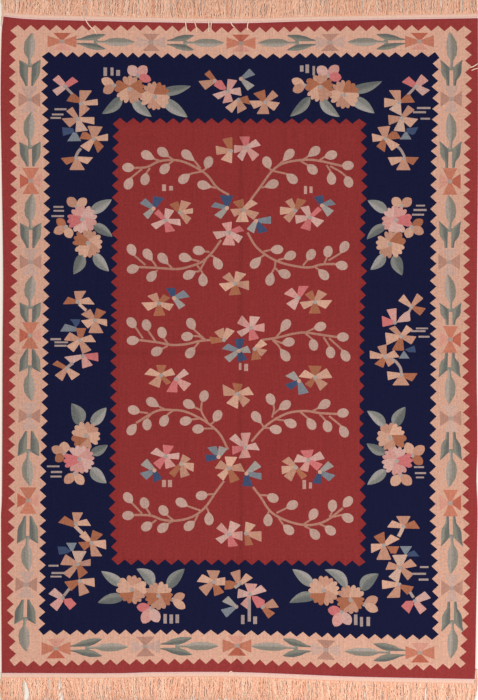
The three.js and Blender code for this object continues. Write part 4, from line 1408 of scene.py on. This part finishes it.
def bumped(tree, shader, height, distance, strength=0.7):
    inputs = {"Height": height, "Distance": distance, "Strength": strength}
    tree.links.new(add(tree, "ShaderNodeBump", inputs).outputs["Normal"], shader.inputs["Normal"])


WARP_PITCH = 0.0025
WEFT_PITCH = 0.0010

# Where the cloth lay folded, across and down in squares, and half the width of a fold's painted shade
FOLD_SQUARES = (240.9, 352.4)
FOLD_SHADE_REACH = 0.006
wool, tree, shader, place = new_material("woven_wool", roughness=0.9, sheen=0.02)
dyed = add(tree, "ShaderNodeAttribute", attribute_name="dye").outputs["Color"]
weave = grouped(tree, weave_group, Place=place, Warp_Pitch=WARP_PITCH, Weft_Pitch=WEFT_PITCH, Wander=0.0006)
uneven = grouped(tree, uneven_group, Place=place, Ribs=0.32, Bands=0.1, Threads=0.4, Specks=0.6)
folds_at = on_cloth([FOLD_SQUARES])[0]
folds = grouped(tree, fold_shade_group, Place=place, Lengthwise_At=folds_at[0], Crosswise_At=folds_at[1],
        Reach=FOLD_SHADE_REACH, Lengthwise_Depth=0.13, Crosswise_Depth=0.08)
# The valleys between the grains are darkened with painted shade
valley_shade = calc(tree, "SUBTRACT", 1.08, calc(tree, "MULTIPLY", weave["Valley"], 0.22))
shade = calc(tree, "MULTIPLY", calc(tree, "MULTIPLY", uneven["Shade"], valley_shade), folds["Shade"])
fill(tree, shader.inputs["Base Color"], shaded(tree, dyed, shade))
fuzz = soft_noise(tree, place, 1400.0, 3.0)
bumped(tree, shader, calc(tree, "ADD", weave["Height"], calc(tree, "MULTIPLY", fuzz, 0.5)), distance=0.0005)
fill(tree, shader.inputs["Roughness"], calc(tree, "ADD", calc(tree, "MULTIPLY", fuzz, 0.12), 0.84))
cloth_mesh.materials.append(wool)
print("materials:", [material.name for material in bpy.data.materials])

# %% [markdown]
# ## Yarns as joined meshes
#
# Headings, fringe and loose ends are all yarn. A yarn is a thin tube along a path, and one helper turns
# a whole set of paths into one closed mesh from arrays, which takes a fraction of a second for a
# thousand yarns. Each yarn has only a few dozen faces and a dye of its own. Its UV map holds one small
# cell for each yarn, which serves the baking and also tells the material how far round and along a yarn
# it is, for the plies.

# %% Yarn helper
def yarn_piece(name, paths, radii, dyes, sides, cells_across, flat=1.0):
    """Tubes along paths, an array of yarns, steps and x y z. radii: one for each step of each yarn.
    flat is the height of a yarn's section as a share of its width."""
    yarns, steps, _ = paths.shape
    along = np.gradient(paths, axis=1)
    along /= np.linalg.norm(along, axis=2, keepdims=True)
    side = np.cross(along, (0.0, 0.0, 1.0))
    side /= np.linalg.norm(side, axis=2, keepdims=True)
    over = np.cross(side, along)
    turns = np.arange(sides) * 2 * math.pi / sides + math.pi / 2
    ring = side[:, :, None] * np.cos(turns)[:, None] + over[:, :, None] * np.sin(turns)[:, None] * flat
    points = paths[:, :, None] + ring * radii[:, :, None, None]
    number = np.arange(yarns * steps * sides).reshape(yarns, steps, sides)
    ahead = np.roll(number, -1, axis=2)
    walls = np.stack([number[:, :-1], number[:, 1:], ahead[:, 1:], ahead[:, :-1]], axis=-1).reshape(-1, 4)
    caps = [number[:, 0], number[:, -1, ::-1]]

    cells_down = math.ceil(yarns / cells_across)
    corner = np.stack(np.divmod(np.arange(yarns), cells_across)[::-1], axis=-1)[:, None, None, None]
    step, turn = np.meshgrid(np.arange(steps - 1), np.arange(sides), indexing="ij")
    wall_turn = np.stack([turn, turn, turn + 1, turn + 1], axis=-1) / sides
    wall_step = np.stack([step, step + 1, step + 1, step], axis=-1) / (steps - 1)
    wall_uv = np.stack([0.1 + 0.8 * wall_turn, 0.03 + 0.86 * wall_step], axis=-1)[None]
    cap_ring = 0.04 * np.column_stack([np.cos(turns), np.sin(turns)])
    cap_uv = [np.array((middle, 0.95)) + cap_ring * (4, 1) * flip for middle,
            flip in ((0.27, (1, 1)), (0.73, (1, -1)))]
    cell = (cells_across, cells_down)
    uv = [((corner + wall_uv) / cell).reshape(-1, 2)]
    uv += [((corner[:, :, 0, 0] + part) / cell).reshape(-1, 2) for part in cap_uv]

    mesh = bpy.data.meshes.new(name)
    faces = walls.tolist() + caps[0].tolist() + caps[1].tolist()
    mesh.from_pydata(points.reshape(-1, 3).tolist(), [], faces)
    yarn_of_face = np.concatenate([np.repeat(np.arange(yarns), (steps - 1) * sides),
            np.tile(np.arange(yarns), 2)])
    corners = np.repeat([4, sides], [len(walls), 2 * yarns])
    colours = np.column_stack([dyes, np.ones(yarns)])
    mesh.color_attributes.new("dye", "FLOAT_COLOR", "CORNER").data.foreach_set(
        "color", np.repeat(colours[yarn_of_face], corners, axis=0).ravel())
    mesh.uv_layers.new(name="OFBake").data.foreach_set("uv", np.vstack(uv).ravel())
    mesh.shade_smooth()
    piece = bpy.data.objects.new(name, mesh)
    bpy.context.collection.objects.link(piece)
    triangles = len(walls) * 2 + 2 * yarns * (sides - 2)
    print(f"{name}: {yarns} yarns, {triangles} triangles, mended: {mesh.validate()}")
    return piece


def yarn_dyes(count, pale=0.5):
    """A dye for each yarn, between dark and light. pale is the middle of the range."""
    lightness = np.clip(rng.normal(pale, 0.25, count), 0, 1)[:, None]
    middle = np.clip(lightness * 2, 0, 1)
    top = np.clip(lightness * 2 - 1, 0, 1)
    dark = linear("yarn_dark") * (1 - middle) + linear("yarn_mid") * middle
    return dark * (1 - top) + linear("yarn_light") * top


# %% [markdown]
# ## Headings
#
# Past the last row of wool, each end has a heading: a few rows of cream cotton beaten down hard, which
# keep the wefts from sliding off. It stands as a rounded band of under a centimetre, and along the red
# wool runs a twined row, two yarns that twist round each other between the warps. The heading is a band
# with an oval section along the end's own line, and the twined row is a pair of helices.

# %% End lines
ENDS = {"top": 1, "bottom": -1}
HEADING_WIDTH = 0.0122
HEADING_HEIGHT = 0.0026
HEADING_INSET = 0.0015
CORNER_REACH = 0.03


def end_line(outwards):
    """The places of one end of the cloth from left to right, from the solid's outline."""
    reach = outwards * cloth_corners[:, 1]
    line = cloth_corners[reach > reach.max() - CORNER_REACH]
    return line[np.argsort(line[:, 0])]


end_lines = {end: end_line(outwards) for end, outwards in ENDS.items()}


def end_place(end, across):
    """How far along Y the cloth ends at places across it."""
    line = end_lines[end]
    return np.interp(across, line[:, 0], line[:, 1])


for end in ENDS:
    print(end, "end from", end_lines[end][0].round(3), "to", end_lines[end][-1].round(3))

# %% Heading bands
HEADING_STEPS = 420
HEADING_SIDES = 10


def heading_band(end):
    """A rounded band of cotton along one end of the cloth."""
    across = np.linspace(cloth_low.x + HEADING_INSET, cloth_high.x - HEADING_INSET, HEADING_STEPS)
    outwards = ENDS[end]
    bumps = np.array([noise.noise(Vector((x * 120, outwards * 7.0, 0.0))) for x in across])
    line = end_place(end, across)
    middle = line + outwards * (HEADING_WIDTH / 2 - 0.0004 + 0.0002 * bumps)
    turns = np.arange(HEADING_SIDES) * 2 * math.pi / HEADING_SIDES
    wide = np.sign(np.cos(turns)) * np.abs(np.cos(turns)) ** 0.7 * (HEADING_WIDTH / 2 + 0.0004)
    high = np.sin(turns) * HEADING_HEIGHT / 2
    points = np.stack(np.broadcast_arrays(
        across[:, None],
        middle[:, None] + wide * (1 + 0.04 * bumps[:, None]),
        HEADING_HEIGHT / 2 + high * (1 + 0.06 * bumps[:, None]),
    ), axis=-1)
    number = np.arange(HEADING_STEPS * HEADING_SIDES).reshape(HEADING_STEPS, HEADING_SIDES)
    ahead = np.roll(number, -1, axis=1)
    walls = np.stack([number[:-1], ahead[:-1], ahead[1:], number[1:]], axis=-1).reshape(-1, 4)
    mesh = bpy.data.meshes.new(end + "_heading")
    mesh.from_pydata(points.reshape(-1, 3).tolist(), [], walls.tolist() + [number[0, ::-1].tolist()]
            + [number[-1].tolist()])
    mesh.shade_smooth()
    piece = bpy.data.objects.new(end + "_heading", mesh)
    bpy.context.collection.objects.link(piece)
    print(piece.name, "faces:", len(mesh.polygons))
    return piece


headings = {end: heading_band(end) for end in ENDS}

# %% Twined rows
TWINE_RADIUS = 0.0010
TWINE_PITCH = 0.0075
TWINE_STEPS_A_TURN = 8


def twined_row(end):
    """Two yarns that twist round each other along the edge of the red wool."""
    turns = int((cloth_high.x - cloth_low.x - 2 * HEADING_INSET) / TWINE_PITCH)
    across = np.linspace(cloth_low.x + HEADING_INSET, cloth_high.x - HEADING_INSET,
            turns * TWINE_STEPS_A_TURN)
    phase = np.arange(len(across)) * 2 * math.pi / TWINE_STEPS_A_TURN
    line = end_place(end, across) + ENDS[end] * 0.0008
    strands = []
    for start in (0, math.pi):
        sway = np.cos(phase + start) * TWINE_RADIUS * 0.95
        rise = np.sin(phase + start) * TWINE_RADIUS * 0.75
        strands.append(np.column_stack([across, line + sway, CLOTH_HEIGHT + 0.0001 + rise]))
    paths = np.array(strands)
    radii = np.full(paths.shape[:2], TWINE_RADIUS)
    dyes = np.array([linear("twine")] * 2)
    return yarn_piece(end + "_twined_row", paths, radii, dyes, sides=4, cells_across=2)


twined_rows = {end: twined_row(end) for end in ENDS}

# %% [markdown]
# ## Fringe
#
# The warps leave the heading as fine crinkled yarns: freed from the weave, they keep the waves that the
# wefts pressed into them. They lie two or three deep, lean in groups, cross each other here and there,
# and part in a few places where the floor shows. Every yarn gets a root, a reach, a lean, a wave and a
# layer, and where the warps part, the yarns near the gap are pushed away from its middle more and more
# towards their tips.

# %% Fringe
YARNS_PER_END = 1300
YARN_RADIUS = 0.0011
YARN_FLATNESS = 0.6
YARN_STEPS = 21
YARN_SIDES = 3
FRINGE_REACH = (0.067, 0.077)
SIDE_REACH = 0.003
# How much yarns lean in groups and each by itself, the share that strays, and the spread of their curl
GROUP_LEAN = 0.28
YARN_LEAN = 0.05
STRAY_SHARE = 0.1
STRAY_LEAN = 0.28
CURL_SPREAD = 0.003
WAVE_LENGTHS = (0.013, 0.021)
WAVE_SIZES = (0.0004, 0.0012)
LAYER_HEIGHTS = np.array((0.0008, 0.0018, 0.0026))
# The lowest yarns lie flattened under the others, and a darker dye paints their shade
UNDER_SWELL = 2.3
# The fringe at the bottom end is dyed brighter than at the top: painted light
END_PAINTED_LIGHT = {"top": 1.0, "bottom": 1.08}

# Each row: middle of the gap across, half its width, both in squares
TOP_GAPS = [(-1, 3), (86, 3.2), (100, 1.8), (154.5, 1.6), (218.5, 1.8), (287, 1.8), (441, 2.2)]
BOTTOM_GAPS = [(24.5, 3.6), (48, 3.0), (60, 3.4), (82, 1.8), (427, 2.8), (449, 3.0)]
GAPS = {"top": TOP_GAPS, "bottom": BOTTOM_GAPS}


def slow_wave(places, scale, seed):
    """Smooth noise along a line, from about -0.5 to 0.5."""
    return np.array([noise.noise(Vector((x * scale, seed, 0.5))) for x in places])


def fringe(end):
    outwards = ENDS[end]
    count = YARNS_PER_END
    roots = np.linspace(cloth_low.x + 0.003, cloth_high.x - 0.003, count) + rng.normal(0, 0.0006, count)
    roots = np.clip(roots, cloth_low.x + 0.0025, cloth_high.x - 0.0025)
    start = HEADING_WIDTH - 0.0020
    reach = rng.uniform(*FRINGE_REACH, count) + slow_wave(roots, 9.0, 3.0) * 0.004
    t = np.linspace(0, 1, YARN_STEPS)
    gone = t * (reach - start)[:, None]

    lean = slow_wave(roots, 22.0, 8.0) * GROUP_LEAN + rng.normal(0, YARN_LEAN, count)
    strays = rng.random(count) < STRAY_SHARE
    lean[strays] += rng.normal(0, STRAY_LEAN, strays.sum())
    sideways_path = gone * lean[:, None]
    curl = rng.normal(0, CURL_SPREAD, count) + slow_wave(roots, 60.0, 5.0) * 0.004
    sideways_path += curl[:, None] * np.sin(t * math.pi * rng.uniform(0.6, 1.6, count)[:, None])
    wave_length = rng.uniform(*WAVE_LENGTHS, count)
    wave_size = rng.uniform(*WAVE_SIZES, count)
    phase = rng.uniform(0, 2 * math.pi, count)
    settle = np.clip(t / 0.12, 0, 1)
    crinkle = np.sin(gone / wave_length[:, None] * 2 * math.pi + phase[:, None]) * wave_size[:, None]
    sideways_path += crinkle * settle

    for middle, half in GAPS[end]:
        gap = on_cloth([(middle, 0)])[0, 0]
        away = roots - gap
        push = np.sign(away) * half * SQUARE * np.exp(-np.abs(away) / (1.6 * half * SQUARE))
        sideways_path += push[:, None] * np.clip(t * 2.2, 0, 1) ** 0.7

    # A yarn at a corner leans out no further than the side allows
    furthest = np.max(sideways_path * np.sign(roots)[:, None], axis=1)
    room = cloth_high.x + SIDE_REACH - np.abs(roots)
    sideways_path *= np.minimum(1, room / np.maximum(furthest, 1e-6))[:, None]

    deep = np.arange(count) % len(LAYER_HEIGHTS)
    layer = LAYER_HEIGHTS[deep]
    ripple = np.cos(gone / wave_length[:, None] * 2 * math.pi + phase[:, None]) * 0.0003
    height = HEADING_HEIGHT / 2 + (layer[:, None] - HEADING_HEIGHT / 2) * settle + ripple * settle
    under = deep == 0
    radii = YARN_RADIUS * rng.uniform(0.85, 1.15, count) * np.where(under, UNDER_SWELL, 1)
    radii = radii[:, None] * (1 - 0.45 * t ** 6)
    height = np.maximum(height, radii * YARN_FLATNESS * 0.6)
    edge = end_place(end, roots)
    paths = np.stack([
        roots[:, None] + sideways_path,
        edge[:, None] + outwards * (start + gone),
        height,
    ], axis=-1)
    dyes = yarn_dyes(count) * rng.uniform(0.94, 1.04, count)[:, None]
    # The lowest yarns get a darker dye: painted shade between the yarns above
    dyes[under] = linear("yarn_under_shade")
    dyes = dyes * END_PAINTED_LIGHT[end]
    return yarn_piece(end + "_fringe", paths, radii, dyes, YARN_SIDES, cells_across=130, flat=YARN_FLATNESS)


fringes = {end: fringe(end) for end in ENDS}

# %% [markdown]
# A few warps came out of the heading on the wrong side and lie over the red border. They are placed one
# by one, each from under the twined row to its free tip.

# %% Loose yarns
LOOSE_RADIUS = 0.0013
LOOSE_STEPS = 14

# Each row: points of one yarn in squares
LOOSE_YARNS = [
    [(85, 18.5), (88, 24), (92, 28.5), (94.5, 30), (96.5, 34.5)],
    [(185.5, 21), (186, 26), (187, 32.5)],
    [(194, 21), (196, 26.5), (196.5, 32)],
    [(208.5, 21), (209, 27), (208.5, 32.5)],
    [(212, 21), (211, 26), (211, 32)],
    [(230.5, 21.5), (232, 25), (234.5, 27.5)],
    [(248.5, 21.5), (247.5, 25.5), (247.5, 30.5)],
    [(470, 67.5), (473.5, 66.5), (478, 63.5)],
    [(471.5, 70.5), (475, 69), (478.3, 68.5)],
    [(228.5, 673), (231, 671.2), (233.5, 673)],
]


def loose_yarns():
    paths = []
    for points in LOOSE_YARNS:
        line = on_cloth(smooth_path(points, steps=8))
        share = np.linspace(0, 1, len(line))
        wanted = np.linspace(0, 1, LOOSE_STEPS)
        across = np.interp(wanted, share, line[:, 0])
        down = np.interp(wanted, share, line[:, 1])
        height = CLOTH_HEIGHT + LIE_HEIGHT * 0.5 + LOOSE_RADIUS * 0.9
        height = height + 0.0004 * np.sin(wanted * math.pi * 3) ** 2
        paths.append(np.column_stack([across, down, height]))
    paths = np.array(paths)
    radii = LOOSE_RADIUS * np.tile(1 - 0.4 * np.linspace(0, 1, LOOSE_STEPS) ** 6, (len(paths), 1))
    return yarn_piece("loose_yarns", paths, radii, yarn_dyes(len(paths), pale=0.95), 6, cells_across=5)


loose = loose_yarns()

# %% [markdown]
# ## Cotton yarn and heading finishes
#
# The fringe is undyed cotton, two plies twisted together. Two light bands run round each yarn and make
# its twist, with fine fibres over them, and the grooves between the plies get painted shade. The heading
# shows the same weave as the cloth but finer, in cream.

# %% Plied yarn group
ply_group, given, gives = shader_group(
    "plied_yarn",
    [("Cell", VECTOR, (0, 0, 0)), ("Cells Across", FLOAT, 130.0), ("Cells Down", FLOAT, 10.0),
     ("Twists", FLOAT, 12.0)],
    ["Height", "Groove"],
)
cell_parts = add(ply_group, "ShaderNodeSeparateXYZ", {0: given["Cell"]}).outputs
round_yarn = calc(ply_group, "FRACT", calc(ply_group, "MULTIPLY", cell_parts["X"], given["Cells Across"]))
along_yarn = calc(ply_group, "MULTIPLY", cell_parts["Y"], given["Cells Down"])
twist = calc(ply_group, "ADD", calc(ply_group, "MULTIPLY", round_yarn, 2.5),
        calc(ply_group, "MULTIPLY", along_yarn, given["Twists"]))
ply = calc(ply_group, "ABSOLUTE", calc(ply_group, "SINE", calc(ply_group, "MULTIPLY", twist, math.pi)))
fill(ply_group, gives["Height"], ply)
fill(ply_group, gives["Groove"], calc(ply_group, "POWER", calc(ply_group, "SUBTRACT", 1.0, ply), 2.0))
print("nodes in the plied yarn:", len(ply_group.nodes))

# %% Cotton finishes
def cotton_yarn(name, cells_across, cells_down, twists):
    """Undyed plied cotton for a piece whose yarns lie in that many cells."""
    material, tree, shader, place = new_material(name, roughness=0.85, sheen=0.1)
    dyed = add(tree, "ShaderNodeAttribute", attribute_name="dye").outputs["Color"]
    cell = add(tree, "ShaderNodeUVMap", uv_map="OFBake").outputs["UV"]
    plies = grouped(tree, ply_group, Cell=cell, Cells_Across=float(cells_across),
            Cells_Down=float(cells_down),
            Twists=float(twists))
    fibres = soft_noise(tree, place, (900.0, 260.0, 900.0), 3.0)
    # The grooves between the plies are darkened with painted shade
    shade = calc(tree, "SUBTRACT", calc(tree, "ADD", calc(tree, "MULTIPLY", fibres, 0.22), 1.02),
            calc(tree, "MULTIPLY", plies["Groove"], 0.12))
    fill(tree, shader.inputs["Base Color"], shaded(tree, dyed, shade))
    fill(tree, shader.inputs["Roughness"], calc(tree, "ADD", calc(tree, "MULTIPLY", fibres, 0.15), 0.75))
    bumped(tree, shader, calc(tree, "ADD", plies["Height"], calc(tree, "MULTIPLY", fibres, 0.6)),
           distance=0.0003)
    return material


def heading_cotton():
    material, tree, shader, place = new_material("heading_cotton", roughness=0.88, sheen=0.08)
    weave = grouped(tree, weave_group, Place=place, Warp_Pitch=WARP_PITCH, Weft_Pitch=0.0016, Wander=0.0004)
    uneven = grouped(tree, uneven_group, Place=place, Ribs=0.2, Bands=0.05, Threads=0.15, Specks=0.15)
    # The valleys between the grains are darkened with painted shade
    valley_shade = calc(tree, "SUBTRACT", 1.06, calc(tree, "MULTIPLY", weave["Valley"], 0.2))
    cream = (*linear("heading"),)
    fill(tree, shader.inputs["Base Color"],
         shaded(tree, cream, calc(tree, "MULTIPLY", uneven["Shade"], valley_shade)))
    fuzz = soft_noise(tree, place, 1400.0, 3.0)
    fill(tree, shader.inputs["Roughness"], calc(tree, "ADD", calc(tree, "MULTIPLY", fuzz, 0.12), 0.82))
    bumped(tree, shader, calc(tree, "ADD", weave["Height"], calc(tree, "MULTIPLY", fuzz, 0.4)),
           distance=0.0005)
    return material


fringe_yarn = cotton_yarn("fringe_cotton", 130, math.ceil(YARNS_PER_END / 130), 14)
twine_yarn = cotton_yarn("twined_cotton", 2, 1, 250)
loose_yarn = cotton_yarn("loose_cotton", 5, 2, 9)
band_finish = heading_cotton()
for end in ENDS:
    fringes[end].data.materials.append(fringe_yarn)
    twined_rows[end].data.materials.append(twine_yarn)
    headings[end].data.materials.append(band_finish)
loose.data.materials.append(loose_yarn)
print("materials:", [material.name for material in bpy.data.materials])

# %% [markdown]
# ## Join the pieces to the frame
#
# Each piece rides on the one body of this part.

# %% Rides
trim = [*headings.values(), *twined_rows.values(), *fringes.values(), loose]
for piece in (cloth, *trim):
    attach(piece, "root")
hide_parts("fringe_top")
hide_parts("fringe_bottom")

# %% [markdown]
# ## Floor, light and camera
#
# The kilim lies on a plain pale floor in the light of one large soft source, a little stronger towards
# the lower right corner, with a bright surrounding that fills the shadows. The camera looks straight
# down, and its height follows from the size of a square: 700 squares fill the view from top to bottom.

# %% Floor
FLOOR_SIZE = 12.0
bpy.ops.object.select_all(action="DESELECT")
bpy.ops.mesh.primitive_plane_add(size=FLOOR_SIZE, location=(0, 0, cloth_low.z - 0.0004))
floor = bpy.context.object
floor.name = "floor"
floor_paint, tree, shader, place = new_material("pale_floor", roughness=0.8, sheen=0.0)
grain_shade = calc(tree, "ADD", calc(tree, "MULTIPLY", soft_noise(tree, place, 6.0, 4.0), 0.04), 0.98)
fill(tree, shader.inputs["Base Color"], shaded(tree, (0.80, 0.74, 0.68), grain_shade))
floor.data.materials.append(floor_paint)
print("floor at", round(floor.location.z, 4))

# %% Light
def soft_light(name, place, size, watts, warmth):
    """A square area light that faces the middle of the cloth."""
    lamp = bpy.data.lights.new(name, "AREA")
    lamp.size = size
    lamp.energy = watts
    lamp.color = warmth
    stand = bpy.data.objects.new(name, lamp)
    stand.location = place
    stand.rotation_euler = (-Vector(place)).to_track_quat("-Z", "Y").to_euler()
    bpy.context.collection.objects.link(stand)


soft_light("key", (1.6, -1.5, 3.0), 2.4, 71.0 * LIGHT_LEVEL, (1.0, 0.98, 0.95))
soft_light("fill", (-1.8, 1.4, 3.4), 3.0, 36.0 * LIGHT_LEVEL, (1.0, 0.99, 0.98))
world = bpy.data.worlds.new("bright_room")
world.use_nodes = True
world.node_tree.nodes["Background"].inputs["Color"].default_value = (1.0, 0.99, 0.97, 1.0)
world.node_tree.nodes["Background"].inputs["Strength"].default_value = 0.47 * LIGHT_LEVEL
bpy.context.scene.world = world
bpy.context.scene.view_settings.view_transform = "Standard"
print("lights:", [light.name for light in bpy.data.lights])

# %% Camera
LENS = 70.0
SENSOR = 36.0
view_middle = on_cloth([(VIEW_SQUARES[0] / 2, VIEW_SQUARES[1] / 2)])[0]
view_height = VIEW_SQUARES[1] * SQUARE
eye = bpy.data.cameras.new("overhead")
eye.lens = LENS
eye.sensor_width = SENSOR
camera = bpy.data.objects.new("overhead", eye)
camera.location = (view_middle[0], view_middle[1], CLOTH_HEIGHT + view_height * LENS / SENSOR)
bpy.context.collection.objects.link(camera)
bpy.context.scene.camera = camera
print("camera height in metres:", round(camera.location.z, 3))
